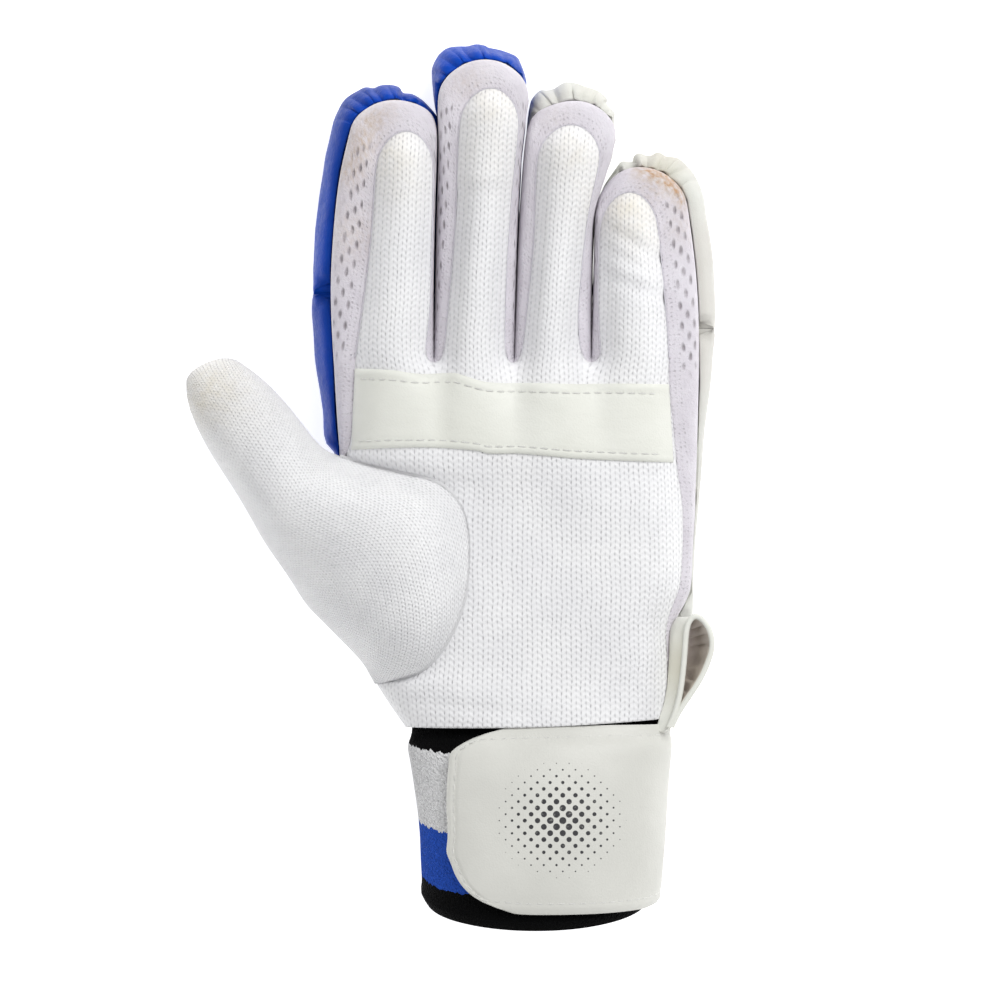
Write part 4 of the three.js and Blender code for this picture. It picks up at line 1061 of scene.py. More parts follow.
class Cloth:
    """A sewn or moulded surface while it is being made."""

    def __init__(self, name: str) -> None:
        """Start an empty surface.

        Args:
            name: The piece's name.
        """
        self.name = name
        self.bm = bmesh.new()
        self.uv = self.bm.loops.layers.uv.new("cloth")

    def grid(self, columns: int, rows: int, at: Callable[[int, int], GridPoint]) -> None:
        """Lay a grid and move its points.

        Args:
            columns: Cells across.
            rows: Cells along.
            at: Gives the point in millimetres and the cloth place for a column and a row.
        """
        made = bmesh.ops.create_grid(self.bm, x_segments=columns, y_segments=rows, size=1.0)["verts"]
        spots = {}
        for vert in made:
            column = round((vert.co.x + 1) / 2 * columns)
            row = round((vert.co.y + 1) / 2 * rows)
            vert.co, spots[vert] = at(column, row)
        for face in {face for vert in made for face in vert.link_faces}:
            for loop in face.loops:
                loop[self.uv].uv = spots[loop.vert]

    def weld(self, distance: float = 0.02) -> None:
        """Merge points that share a place."""
        bmesh.ops.remove_doubles(self.bm, verts=self.bm.verts[:], dist=distance)
        bmesh.ops.dissolve_degenerate(self.bm, edges=self.bm.edges[:], dist=0.001)

    def face_away(self, middle: Vector) -> None:
        """Make the faces point away from a place inside.

        Args:
            middle: The place, in millimetres.
        """
        bmesh.ops.recalc_face_normals(self.bm, faces=self.bm.faces[:])
        votes = sum(f.calc_area() * math.copysign(1.0, f.normal.dot(f.calc_center_median() - middle))
                    for f in self.bm.faces)
        if votes < 0:
            bmesh.ops.reverse_faces(self.bm, faces=self.bm.faces[:])

    def refine(self, levels: int) -> None:
        """Smooth the surface with a subdivision modifier and take the result back.

        Args:
            levels: How often each face is divided.
        """
        mesh = bpy.data.meshes.new(self.name + "_cage")
        self.bm.to_mesh(mesh)
        carrier = add_object(self.name + "_cage", mesh)
        modifier = carrier.modifiers.new("smooth", "SUBSURF")
        modifier.levels = modifier.render_levels = levels
        finer = take_mesh(carrier)
        self.bm.clear()
        self.bm.from_mesh(finer)
        self.uv = self.bm.loops.layers.uv["cloth"]
        bpy.data.meshes.remove(mesh)
        bpy.data.meshes.remove(finer)

    def press(self, folds: Sequence["Fold"]) -> None:
        """Press folds and dents into the surface.

        Args:
            folds: The folds and dents.
        """
        self.bm.normal_update()
        moves = [(vert, sum(fold.depth_at(vert.co) for fold in folds)) for vert in self.bm.verts]
        for vert, depth in moves:
            if abs(depth) > 1e-5:
                vert.co -= vert.normal * depth

    def spots(self, spots: Sequence["Spot"]) -> None:
        """Store how stained each point is.

        Args:
            spots: The stains.
        """
        layer = self.bm.verts.layers.float.get("stain") or self.bm.verts.layers.float.new("stain")
        for vert in self.bm.verts:
            vert[layer] = clamp(sum(spot.strength_at(vert.co) for spot in spots))

    def mark(self, name: str, value: Callable[[Vector], float]) -> None:
        """Store a number at each point, for the material to read.

        Args:
            name: The attribute's name.
            value: Gives the number at a point.
        """
        layer = self.bm.verts.layers.float.new(name)
        for vert in self.bm.verts:
            vert[layer] = value(vert.co)

    def tree(self) -> BVHTree:
        """Return a search tree of the surface in millimetres."""
        return BVHTree.FromBMesh(self.bm)

    def done(self, material: Material, wall: float = 0.0, bevel: float = 0.0,
             nodes: Sequence[str] = (), lining: Material | None = None) -> bpy.types.Object:
        """Turn the surface into a finished piece.

        Args:
            material: The piece's material.
            wall: The thickness to add inwards, in millimetres.
            bevel: The width of rounded rims, in millimetres.
            nodes: The CAD nodes that the piece stands for.
            lining: The material of the wall's inner side, where it differs.

        Returns:
            The piece.
        """
        mesh = smooth_mesh(self.name, self.bm)
        piece = add_object(self.name, mesh)
        mesh.materials.append(material)
        if wall:
            solid = piece.modifiers.new("wall", "SOLIDIFY")
            solid.thickness = wall * MM
            solid.offset = -1.0
            solid.use_even_offset = False
            if lining:
                mesh.materials.append(lining)
                solid.material_offset = 1
        if bevel:
            rim = piece.modifiers.new("rim", "BEVEL")
            rim.width = bevel * MM
            rim.segments = 2
            rim.limit_method = "ANGLE"
            rim.angle_limit = math.radians(60)
            rim.harden_normals = False
        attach(piece, "root")
        if nodes:
            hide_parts(*nodes)
        log.info("%s: %d faces", self.name, len(mesh.polygons))
        return piece


@dataclass(frozen=True)
class Fold:
    """A fold or dent along a line: its two ends, half width, depth, and the levels it stays between."""

    x0: float
    y0: float
    x1: float
    y1: float
    width: float
    depth: float
    low: float = 0.0
    high: float = 90.0

    def depth_at(self, point: Vector) -> float:
        """Return how far the surface is pressed in at a point.

        Args:
            point: The point.

        Returns:
            The depth in millimetres.
        """
        if not self.low <= point.z <= self.high:
            return 0.0
        ax, ay = point.x - self.x0, point.y - self.y0
        bx, by = self.x1 - self.x0, self.y1 - self.y0
        share = clamp((ax * bx + ay * by) / max(bx * bx + by * by, 1e-6))
        distance = math.hypot(ax - bx * share, ay - by * share)
        if distance > 3 * self.width:
            return 0.0
        fade = math.sin(math.pi * clamp(share, 0.08, 0.92)) ** 0.6
        return self.depth * fade * math.exp(-((distance / self.width) ** 2))


@dataclass(frozen=True)
class Spot:
    """A round stain: its middle, radius and strength."""

    x: float
    y: float
    radius: float
    strength: float

    def strength_at(self, point: Vector) -> float:
        """Return how strong the stain is at a point."""
        distance = math.hypot(point.x - self.x, point.y - self.y) / self.radius
        return self.strength * math.exp(-distance * distance)


def arc_lengths(points: Sequence[Vector], centre: int) -> list[float]:
    """Measure along a row of points from one of them, negative to its left.

    Args:
        points: The row of points.
        centre: The point to measure from.

    Returns:
        The distance at each point.
    """
    sums = [0.0]
    for a, b in zip(points, points[1:]):
        sums.append(sums[-1] + (b - a).length)
    return [value - sums[centre] for value in sums]


# Sewn pieces


@dataclass
class KnitPalm:
    """The white knit front of the palm and the four fingers."""

    hand: Hand
    wall: float = 1.2
    levels: int = 3
    folds: tuple[Fold, ...] = (
        Fold(30.0, 36.2, 42.0, 29.0, 2.0, 1.2),
        Fold(30.0, 40.2, 42.0, 33.0, 2.4, -0.6),
        Fold(29.5, 30.2, 38.5, 25.4, 1.9, 0.7),
        Fold(28.6, 22.6, 44.0, 17.2, 2.3, 0.9),
        Fold(28.6, 26.6, 44.0, 21.0, 2.4, -0.4),
        Fold(-15.0, 46.5, -2.0, 48.5, 2.4, 0.45),
        Fold(-15.0, 51.5, -3.0, 53.0, 2.2, -0.35),
        Fold(-15.0, 41.0, -3.0, 42.5, 2.6, 0.3),
        Fold(-19.4, -2.0, -20.4, -30.0, 3.4, 0.6),
        Fold(2.0, -3.0, 4.0, -30.0, 4.0, 0.5),
        Fold(26.0, -3.0, 27.0, -30.0, 3.6, 0.5),
        Fold(-15.0, -36.0, -10.5, -70.0, 3.0, -0.5),
        Fold(-30.0, -100.0, 10.0, -104.0, 2.2, 0.5),
    )
    stains: tuple[Spot, ...] = (
        Spot(-36.0, 60.0, 7.5, 0.34), Spot(-33.0, 50.0, 9.0, 0.15), Spot(-6.0, 74.0, 8.0, 0.3),
        Spot(-6.0, 58.0, 12.0, 0.12), Spot(18.0, 60.0, 8.0, 0.26), Spot(20.0, 45.0, 11.0, 0.1),
        Spot(33.0, 44.0, 8.0, 0.4), Spot(38.0, 36.0, 8.0, 0.16), Spot(0.0, -30.0, 9.0, 0.05),
    )

    def palm_spot(self, column: int, row: int) -> GridPoint:
        """Return a point of the palm's grid and its cloth place.

        Args:
            column: Its column.
            row: Its row.

        Returns:
            The point and its cloth place.
        """
        order = len(self.hand.palm) - 1 - row
        if order < 0:
            spot = self.hand.root[column]
            return Vector((spot.x, spot.y, share_level(spot.share))), (spot.u, spot.y)
        points = self.hand.palm[order]
        centre = len(points) // 2
        point = points[column]
        return point, (points[centre].x + arc_lengths(points, centre)[column], point.y)

    def build(self, cloths: Cloths) -> BVHTree:
        """Make the piece.

        Args:
            cloths: The materials.

        Returns:
            A search tree of its surface, for what is sewn on it.
        """
        hand = self.hand
        cloth = Cloth("knit_front")
        cloth.grid(len(hand.root) - 1, len(hand.palm), self.palm_spot)
        for name in hand.names:
            rows, finger = hand.fronts[name], hand.fingers[name]
            middle = (rows[0][0].x + rows[0][-1].x) / 2

            def spot(column: int, row: int) -> GridPoint:
                """Return a point of the grid and its cloth place."""
                point = rows[row][column]
                return point, (middle + (point.x - middle - finger.lean * point.y) * 1.2, point.y)

            cloth.grid(FINGER_CELLS, len(rows) - 1, spot)

        def skirt(column: int, row: int) -> GridPoint:
            """Return a point of the strip from the palm's edge down to the back sheet.

            Args:
                column: Its column.
                row: Its row.

            Returns:
                The point and its cloth place.
            """
            order = len(hand.palm) - 1 - row
            point = hand.palm[order][0]
            if column:
                return point, self.palm_spot(0, row)[1]
            foot = hand.back_left(order)
            return Vector((foot.x, foot.y, SKIN_FOOT)), (self.palm_spot(0, row)[1][0] - 15.0, point.y)

        cloth.grid(1, len(hand.palm) - 1 - CORNER, skirt)
        cloth.weld()
        cloth.face_away(Vector((0.0, -20.0, 0.0)))
        cloth.refine(self.levels)
        for vert in cloth.bm.verts:
            swell = noise.noise(Vector((vert.co.x / 17, vert.co.y / 24, 0.0))) * 0.7
            vert.co.z += swell * ease(vert.co.z, 34.0, 42.0)
        cloth.press(self.folds)
        cloth.spots(self.stains)
        tree = cloth.tree()
        cloth.done(cloths.knit, wall=self.wall, nodes=["palm_knit"])
        return tree


@dataclass
class NetGussets:
    """The airmesh sides of the fingers, from the front's seam down to the back sheet, and the bound seams."""

    hand: Hand
    wall: float = 1.0
    binding: float = 0.2
    slit: float = 0.3
    # share of the way down, and share of the way out from the seam: a round shoulder, then a steep side
    shoulder: Table = (
        (0.0, 0.0), (0.05, 0.42), (0.13, 0.78), (0.27, 0.97), (0.5, 1.0), (0.75, 1.0), (1.0, 1.0),
    )
    # the heights between which the net is open, in each finger's outer side
    open_rows: dict[str, Pair] = field(default_factory=lambda: {
        "index": (2.0, 63.0), "middle": (-9.0, 74.0), "ring": (-210.0, -200.0), "little": (-2.0, 46.0),
    })
    stains: dict[str, tuple[Spot, ...]] = field(default_factory=lambda: {
        "index": (Spot(-44.0, 62.0, 5.0, 0.5), Spot(-47.0, 54.0, 5.0, 0.45), Spot(-40.5, 68.5, 4.0, 0.45),
                  Spot(-36.0, 72.0, 4.0, 0.2), Spot(-47.0, 36.0, 9.0, 0.25)),
        "middle": (Spot(-13.0, 80.0, 6.0, 0.2),),
        "ring": (Spot(12.0, 70.0, 6.0, 0.1),),
        "little": (Spot(37.1, 54.8, 3.4, 0.45), Spot(40.6, 54.8, 2.8, 0.5), Spot(43.8, 53.6, 2.8, 0.65),
                   Spot(46.6, 51.2, 2.6, 0.8), Spot(48.6, 48.2, 2.6, 0.75), Spot(49.8, 44.8, 2.6, 0.45),
                   Spot(42.0, 50.0, 5.0, 0.35), Spot(50.0, 38.0, 6.0, 0.2)),
    })

    def closing(self, name: str, foot: Vector) -> float:
        """Return how far a finger's side swells to meet the next finger across a slit.

        Args:
            name: The finger's name.
            foot: A point of the gusset's foot.

        Returns:
            The swell in millimetres.
        """
        order = self.hand.names.index(name)
        for other in (order - 1, order + 1):
            if 0 <= other < len(self.hand.names):
                line = self.hand.edges[self.hand.names[other]]
                gaps = [foot - a.lerp(b, clamp((foot - a).dot(b - a) / max((b - a).length_squared, 1e-9)))
                        for a, b in zip(line, line[1:])]
                gap = min(Vector((gap.x, gap.y, 0.0)).length for gap in gaps)
                if gap < 4.4:
                    slit = lerp(-0.15, self.slit / 2, ease(foot.y, 1.4, 3.6))
                    return max(0.0, gap / 2 - slit) * (1 - ease(gap, 3.4, 4.4))
        return 0.0

    def gusset(self, name: str, cloths: Cloths) -> None:
        """Make the gusset of one finger.

        Args:
            name: The finger's name.
            cloths: The materials.
        """
        columns = self.hand.gusset_columns(name)
        along = arc_lengths([seam for seam, _, _ in columns], 0)
        lines = []
        for seam, foot, bulge in columns:
            out = Vector((foot.x - seam.x, foot.y - seam.y, 0.0))
            reach = out.copy()
            if out.length > 1e-6:
                out.normalize()
            points = []
            close = self.closing(name, foot)
            for down, share in self.shoulder:
                swell = bulge * 0.3 * math.sin(math.pi * down) ** 0.5
                meet = close * ease(down, 0.0, 0.13) + (0.3 * ease(down, 0.3, 0.6) if close else 0.0)
                point = seam + reach * share + out * max(swell, meet)
                point.z = lerp(seam.z, SKIN_FOOT, down)
                points.append(point)
            lines.append(points)

        def spot(column: int, row: int) -> GridPoint:
            """Return a point of the grid and its cloth place."""
            return lines[column][row], (arc_lengths(lines[column], 0)[row], along[column])

        cloth = Cloth(f"net_gusset_{name}")
        cloth.grid(len(columns) - 1, len(self.shoulder) - 1, spot)
        finger = self.hand.fingers[name]
        cloth.face_away(Vector((finger.root + finger.lean * 30, finger.length * 0.45, 30.0)))
        cloth.refine(3)
        low, high = self.open_rows[name]
        cloth.mark("open_net", lambda spot: lerp(
            0.1, 1.0, ease(spot.y, low - 6.0, low + 2.0) * (1 - ease(spot.y, high - 6.0, high + 4.0))))
        cloth.spots(self.stains[name])
        cloth.done(cloths.net, wall=self.wall, nodes=[f"gusset_{name}"])

    def build(self, cloths: Cloths) -> None:
        """Make the four gussets and the bindings on their seams.

        Args:
            cloths: The materials.
        """
        for name in self.hand.names:
            self.gusset(name, cloths)
            path = [place(*(point + Vector((0.0, 0.0, 0.15)))) for point in self.hand.seams[name]]
            cord(f"seam_binding_{name}", path, self.binding, cloths.binding)


def cord(name: str, path: Sequence[Vector], radius: float, material: Material) -> None:
    """Run a thin round cord along points in metres, as a mesh.

    Args:
        name: The piece's name.
        path: The points.
        radius: The cord's radius in millimetres.
        material: Its material.
    """
    curve = bpy.data.curves.new(name, "CURVE")
    curve.dimensions = "3D"
    curve.bevel_depth = radius * MM
    curve.bevel_resolution = 2
    curve.resolution_u = 6
    curve.use_fill_caps = True
    spline = curve.splines.new("NURBS")
    spline.points.add(len(path) - 1)
    for point, spot in zip(spline.points, path):
        point.co = (*spot, 1.0)
    spline.order_u = 4
    spline.use_endpoint_u = True
    mesh = take_mesh(add_object(name + "_path", curve))
    mesh.name = name
    piece = add_object(name, mesh)
    for polygon in mesh.polygons:
        polygon.use_smooth = True
    mesh.materials.clear()
    mesh.materials.append(material)
    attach(piece, "root")


@dataclass
class KnitThumb:
    """The knit thumb: a closed tube at its tip, and a shell from the palm's seam to the back sheet below."""

    hand: Hand
    wall: float = 1.2
    half: int = 6
    bulge: float = 0.1
    gauge: float = 1.45
    folds: tuple[Fold, ...] = (
        Fold(-36.0, -36.5, -22.0, -39.5, 2.6, 0.9, low=30.0),
        Fold(-30.0, -35.0, -36.0, -50.0, 2.6, 0.4, low=30.0),
        Fold(-52.0, -84.0, -40.0, -92.0, 2.0, 0.5, low=24.0),
        Fold(-62.0, -57.0, -54.0, -66.0, 2.0, 0.3, low=24.0),
    )
    stains: tuple[Spot, ...] = (Spot(-86.0, -7.0, 9.0, 0.34), Spot(-91.0, -14.0, 7.0, 0.26),
                                Spot(-78.0, -14.0, 14.0, 0.1))

    def rows(self) -> list[list[Vector]]:
        """Lay the rows: front from right to left, then back from left to right.

        Returns:
            The rows of points, from the tip to the wrist.
        """
        rows = []
        for order, (lx, ly, rx, ry, left_level, right_level, crest, under) in enumerate(THUMB_ROWS):
            left = Vector((THUMB_ROOT[0] + lx * THUMB_LENGTH, THUMB_ROOT[1] + ly * THUMB_LENGTH, 0.0))
            right = Vector((THUMB_ROOT[0] + rx * THUMB_LENGTH, THUMB_ROOT[1] + ry * THUMB_LENGTH, 0.0))
            middle = (left_level + right_level) / 2
            outward = Vector((left.y - right.y, right.x - left.x, 0.0)).normalized()

            def spot(share: float, height: float) -> Vector:
                """Return a point across the thumb.

                Args:
                    share: Share of the way across.
                    height: The middle's rise, as a share.

                Returns:
                    The point.
                """
                level = lerp(left_level, right_level, share) + height * dome(2 * share - 1)
                point = left.lerp(right, share)
                if order == 0:
                    point = point + outward * self.bulge * THUMB_LENGTH * dome(2 * share - 1)
                point.z = share_level(level)
                return point

            front = [spot(1 - i / self.half, crest - middle) for i in range(self.half + 1)]
            rows.append(front + [spot(i / self.half, under - middle) for i in range(1, self.half + 1)])
        for order, (lx, ly, left_level, crest) in enumerate(THENAR_ROWS):
            left = Vector((lx * PALM_WIDTH, -ly * PALM_LENGTH, 0.0))
            seam = self.hand.palm[CROTCH + order][0]
            right_level = PALM_ROWS[CROTCH + order][7]
            foot = self.hand.back_left(CROTCH + order)
            middle = (left_level + right_level) / 2
            row = []
            for i in range(self.half + 1):
                share = 1 - i / self.half
                point = left.lerp(Vector((seam.x, seam.y, 0.0)), share)
                # the side by the palm's seam falls more gently than the free side
                crown = dome(2 * share - 1)
                crown = lerp(crown, crown**1.7, ease(share, 0.5, 1.0))
                point.z = share_level(lerp(left_level, right_level, share) + (crest - middle) * crown)
                row.append(seam.copy() if i == 0 else point)
            for i in range(1, self.half + 1):
                share = i / self.half
                point = left.lerp(foot, share)
                point.z = share_level(max(0.0133, left_level * (1 - share) ** 3))
                row.append(point)
            rows.append(row)
        corner, end = self.hand.palm[CORNER][0], self.hand.palm[THENAR_END][0]
        foot = self.hand.back_left(CORNER)
        foot.z = SKIN_FOOT
        last = [end.lerp(corner, i / self.half) for i in range(self.half + 1)]
        rows.append(last + [corner.lerp(foot, i / self.half) for i in range(1, self.half + 1)])
        return rows

    def build(self, cloths: Cloths) -> None:
        """Make the thumb and the cord in its seam.

        Args:
            cloths: The materials.
        """
        rows = self.rows()
        lengths = arc_lengths([row[self.half // 2] for row in rows], 0)

        def spot(column: int, row: int) -> GridPoint:
            """Return a point of the grid and its cloth place."""
            across = arc_lengths(rows[row], self.half // 2)[column]
            return rows[row][column], (across * self.gauge, -lengths[row] * self.gauge)

        cloth = Cloth("knit_thumb")
        cloth.grid(2 * self.half, len(rows) - 1, spot)
        cloth.weld()
        cloth.face_away(Vector((-55.0, -45.0, 34.0)))
        cloth.refine(3)
        cloth.press(self.folds)
        cloth.spots(self.stains)
        cloth.done(cloths.knit, wall=self.wall, nodes=["thumb_knit"])
        seam = [self.hand.palm[i][0] for i in range(CROTCH, THENAR_END + 1)]
        path = [place(*(point + Vector((-0.1, 0.0, -0.2)))) for point in seam]
        cord("thumb_seam", path, 0.8, cloths.knit_seam)


@dataclass
class Stitching:
    """Rows of sewing thread: each stitch is a small rounded bar pressed into the surface."""

    pitch: float = 3.3
    length: float = 2.5
    radius: float = 0.2

    def run(self, name: str, points: Sequence[Vector], ups: Sequence[Vector], material: Material) -> None:
        """Sew along a line.

        Args:
            name: The piece's name.
            points: The line's points in millimetres, close together.
            ups: The surface's direction at each point.
            material: The thread's material.
        """
        along = arc_lengths(points, 0)
        bm = bmesh.new()
        bm.loops.layers.uv.new("cloth")
        count = int(along[-1] / self.pitch)
        for stitch in range(count):
            at = (stitch + 0.5) * self.pitch
            i = next(k for k in range(len(along) - 1) if along[k + 1] >= at)
            share = (at - along[i]) / max(along[i + 1] - along[i], 1e-6)
            middle = points[i].lerp(points[i + 1], share)
            ahead = (points[i + 1] - points[i]).normalized()
            up = ups[i].normalized()
            aside = up.cross(ahead).normalized()
            up = ahead.cross(aside)
            turn = Matrix((ahead, aside, up)).transposed().to_4x4()
            size = Matrix.Diagonal((self.length / 2, self.radius * 1.25, self.radius, 1.0))
            spot = Matrix.Translation(middle + up * self.radius * 0.35)
            bmesh.ops.create_uvsphere(bm, u_segments=6, v_segments=5, radius=1.0,
                                      matrix=spot @ turn @ size @ Matrix.Rotation(math.pi / 2, 4, "Y"))
        mesh = smooth_mesh(name, bm)
        piece = add_object(name, mesh)
        mesh.materials.append(material)
        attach(piece, "root")


@dataclass
class PalmPatch:
    """The ivory coated strip sewn over the knit below the fingers, with turned edges."""

    top: Table = (
        (-45.5, -3.2), (-33.9, -3.8), (-29.3, -4.6), (-24.7, -4.9), (-16.5, -4.6), (-13.3, -5.5),
        (-8.4, -7.0), (-3.2, -7.5), (8.1, -7.5), (19.7, -7.8), (31.3, -7.6), (45.4, -7.8),
    )
    bottom: Table = (
        (-46.5, -27.0), (-33.4, -26.4), (-21.5, -26.4), (-9.9, -27.3), (-6.7, -28.1), (2.3, -28.1),
        (19.7, -29.6), (46.8, -30.7),
    )
    length: float = 92.0
    width: float = 22.5
    thickness: float = 0.85
    columns: int = 150
    rows: int = 36
    top_line: float = 2.9
    bottom_line: float = 2.3
    # the places that the stitches are laid from, and how many stay free at each end
    places: int = 400
    margin: int = 8

    def flat(self, share: float, down: float) -> tuple[Vector, float, float]:
        """Return a flat point of the patch, with its distances from the top and the bottom edge.

        Args:
            share: Share of the way from left to right.
            down: Share of the way down.

        Returns:
            The point and the two distances.
        """
        x = lerp(self.top[0][0], self.top[-1][0], share)
        above = Vector((x, curve_sample(self.top, x)[1], 0.0))
        x = lerp(self.bottom[0][0], self.bottom[-1][0], share)
        below = Vector((x, curve_sample(self.bottom, x)[1], 0.0))
        length = (above - below).length
        return above.lerp(below, down), down * length, (1 - down) * length

    def surface(self, share: float, down: float, tree: BVHTree) -> Vector:
        """Return a point of the patch's outer face.

        Args:
            share: Share of the way from left to right.
            down: Share of the way down.
            tree: The palm's search tree.

        Returns:
            The point in millimetres.
        """
        spot, from_top, from_bottom = self.flat(share, down)
        hit, normal, _, _ = tree.ray_cast(Vector((spot.x, spot.y, 90.0)), Vector((0.0, 0.0, -1.0)))
        if hit is None or normal.z < 0.45:
            inner = Vector((spot.x - math.copysign(2.5, spot.x), spot.y, 90.0))
            hit, normal, _, _ = tree.ray_cast(inner, Vector((0.0, 0.0, -1.0)))
            hit = Vector((spot.x, spot.y, hit.z - 1.2))
        side = min(share, 1 - share) * self.length
        edge = min(from_top, from_bottom, side + 0.3)
        rise = 0.25 + self.thickness * ease(edge, -0.2, 1.1)
        pucker = 0.5 + 0.5 * math.sin(2 * math.pi * (share * self.length) / Stitching.pitch)
        for distance, line in ((from_top, self.top_line), (from_bottom, self.bottom_line)):
            rise -= (0.12 + 0.10 * pucker) * math.exp(-(((distance - line) / 0.5) ** 2))
            rise += 0.06 * math.exp(-(((distance - line * 0.45) / 0.9) ** 2))
        rise += 0.16 * noise.noise(Vector((spot.x / 7, spot.y / 16, 3.0)))
        return hit + Vector((normal.x * 0.5, normal.y * 0.5, max(normal.z, 0.5))) * rise

    def build(self, cloths: Cloths, tree: BVHTree) -> None:
        """Make the patch on the palm's surface and sew it.

        Args:
            cloths: The materials.
            tree: The palm's search tree.
        """
        cloth = Cloth("palm_patch_strip")
        cloth.grid(self.columns, self.rows, lambda column, row: (
            self.surface(column / self.columns, 1 - row / self.rows, tree), (column, row)))
        cloth.face_away(Vector((0.0, -15.0, 0.0)))
        bmesh.ops.smooth_vert(cloth.bm, verts=cloth.bm.verts[:], factor=0.3, use_axis_z=True)
        cloth.spots(())
        cloth.done(cloths.ivory, wall=0.9, bevel=0.2, nodes=["palm_patch"])
        shares = [i / self.places for i in range(self.margin, self.places - self.margin + 1)]
        lines = {"top": self.top_line / self.width, "bottom": 1 - self.bottom_line / self.width}
        for name, down in lines.items():
            points = [self.surface(share, down, tree) for share in shares]
            Stitching().run(f"patch_stitches_{name}", points, [Vector((0.0, 0.0, 1.0))] * len(points),
                            cloths.thread)


@dataclass
class FoamRolls:
    """The coated foam rolls on the back: one on each finger, and one below it on the hand."""

    hand: Hand
    foot: float = 1.6
    round: float = 0.35
    lip: float = 4.6
    lip_gap: float = 0.5
    lip_from: float = 1.3
    fold_gap: float = -1.2
    body: int = 26
    cap: int = 130
    levels: int = 36
    # the tips' outlines from right to left
    tips: dict[str, Table] = field(default_factory=lambda: {
        "index": ((-22.6, 70.8), (-24.4, 73.0), (-26.3, 74.8), (-29.0, 76.3), (-31.7, 76.8), (-33.1, 78.5),
                  (-36.0, 79.2), (-38.4, 78.9), (-40.2, 78.2), (-42.6, 78.3), (-45.0, 77.1), (-48.1, 75.1),
                  (-50.0, 72.4)),
        "middle": ((3.3, 82.6), (2.2, 85.4), (1.0, 87.3), (-2.9, 88.9), (-6.7, 89.8), (-8.1, 90.5),
                   (-10.4, 90.9), (-13.0, 90.3), (-15.4, 90.3), (-18.3, 89.9), (-20.2, 88.7), (-21.6, 87.0),
                   (-22.9, 84.0)),
        "ring": ((29.7, 71.2), (28.4, 72.6), (27.3, 73.9), (27.4, 75.3), (25.2, 77.1), (23.2, 77.9),
                 (21.5, 78.4), (18.3, 79.5), (15.7, 79.8), (13.6, 78.9), (12.5, 78.2), (10.4, 77.7),
                 (8.4, 77.7), (7.0, 76.6), (5.6, 74.2)),
        "little": ((55.1, 47.8), (54.2, 50.5), (52.8, 53.3), (51.0, 55.6), (49.3, 57.1), (47.9, 57.9),
                   (44.9, 58.3), (43.5, 59.1), (42.3, 59.4), (40.6, 58.6), (39.0, 58.6), (37.1, 59.2),
                   (35.8, 58.6), (35.2, 57.0), (33.9, 56.7), (31.9, 56.8), (30.3, 54.6), (28.4, 51.8),
                   (26.6, 48.6)),
    })
    # the creases: X and Y on the outline, half width, depth, lean towards the right
    creases: dict[str, Table] = field(default_factory=lambda: {
        "index": ((-31.8, 76.9, 0.7, 1.9, 0.5), (-36.0, 79.2, 0.6, 1.0, 0.7), (-40.2, 78.3, 0.7, 1.7, 0.9),
                  (-43.4, 78.0, 0.7, 1.9, 1.0), (-46.6, 76.2, 0.8, 2.0, 1.0), (-49.6, 73.2, 0.7, 1.5, 0.9),
                  (-51.4, 69.5, 0.7, 0.8, 0.8), (-27.0, 75.2, 0.7, 0.7, 0.2)),
        "middle": ((-22.8, 83.0, 0.8, 1.9, 0.9), (-21.0, 87.8, 0.8, 1.5, 0.9), (-18.0, 89.9, 0.7, 1.1, 0.9),
                   (-14.2, 90.3, 0.7, 1.9, 0.9), (-9.6, 90.8, 0.7, 1.7, 0.6), (-6.6, 89.8, 0.6, 1.1, 0.5),
                   (-2.0, 88.7, 0.8, 1.2, 0.3), (1.6, 86.5, 0.7, 0.7, 0.0)),
        "ring": ((8.0, 77.6, 0.7, 1.5, 0.4), (12.0, 78.0, 0.8, 2.0, 0.3), (17.4, 79.6, 0.7, 1.7, 0.0),
                 (21.3, 78.5, 0.7, 1.5, -0.2), (24.5, 77.4, 0.7, 1.9, -0.4), (27.4, 74.6, 0.8, 1.9, -0.4),
                 (29.0, 72.0, 0.6, 1.1, -0.3), (5.4, 73.6, 0.7, 1.1, 0.3)),
        "little": ((32.0, 56.8, 0.6, 1.0, 0.4), (35.3, 57.4, 0.7, 1.9, 0.4), (39.4, 58.5, 0.7, 1.9, 0.2),
                   (44.2, 58.6, 0.8, 2.1, -0.3), (47.9, 57.9, 0.7, 1.5, -0.6), (50.9, 55.7, 0.8, 1.7, -0.9),
                   (53.6, 51.8, 0.9, 1.0, -1.0), (29.2, 53.0, 0.6, 0.8, 0.3)),
    })
    # down, left, right, as shares of the palm
    hand_rolls: dict[str, Table] = field(default_factory=lambda: {
        "index": ((-0.154, -0.580, -0.226), (0.000, -0.570, -0.229), (0.144, -0.547, -0.229),
                  (0.225, -0.539, -0.231), (0.266, -0.507, -0.232), (0.442, -0.481, -0.235),
                  (0.686, -0.449, -0.238)),
        "middle": ((-0.168, -0.216, 0.006), (0.000, -0.220, 0.006), (0.252, -0.223, 0.000),
                   (0.686, -0.226, -0.012)),
        "ring": ((-0.141, 0.017, 0.229), (0.000, 0.014, 0.226), (0.252, 0.009, 0.232), (0.686, 0.000, 0.226)),
        "little": ((-0.057, 0.235, 0.586), (0.000, 0.235, 0.581), (0.081, 0.236, 0.574),
                   (0.171, 0.238, 0.560), (0.252, 0.241, 0.551), (0.347, 0.241, 0.545),
                   (0.463, 0.241, 0.534), (0.553, 0.241, 0.528), (0.742, 0.241, 0.522)),
    })
    stains: tuple[Spot, ...] = (Spot(44.0, 57.0, 7.0, 0.5), Spot(24.0, 78.0, 6.0, 0.25))

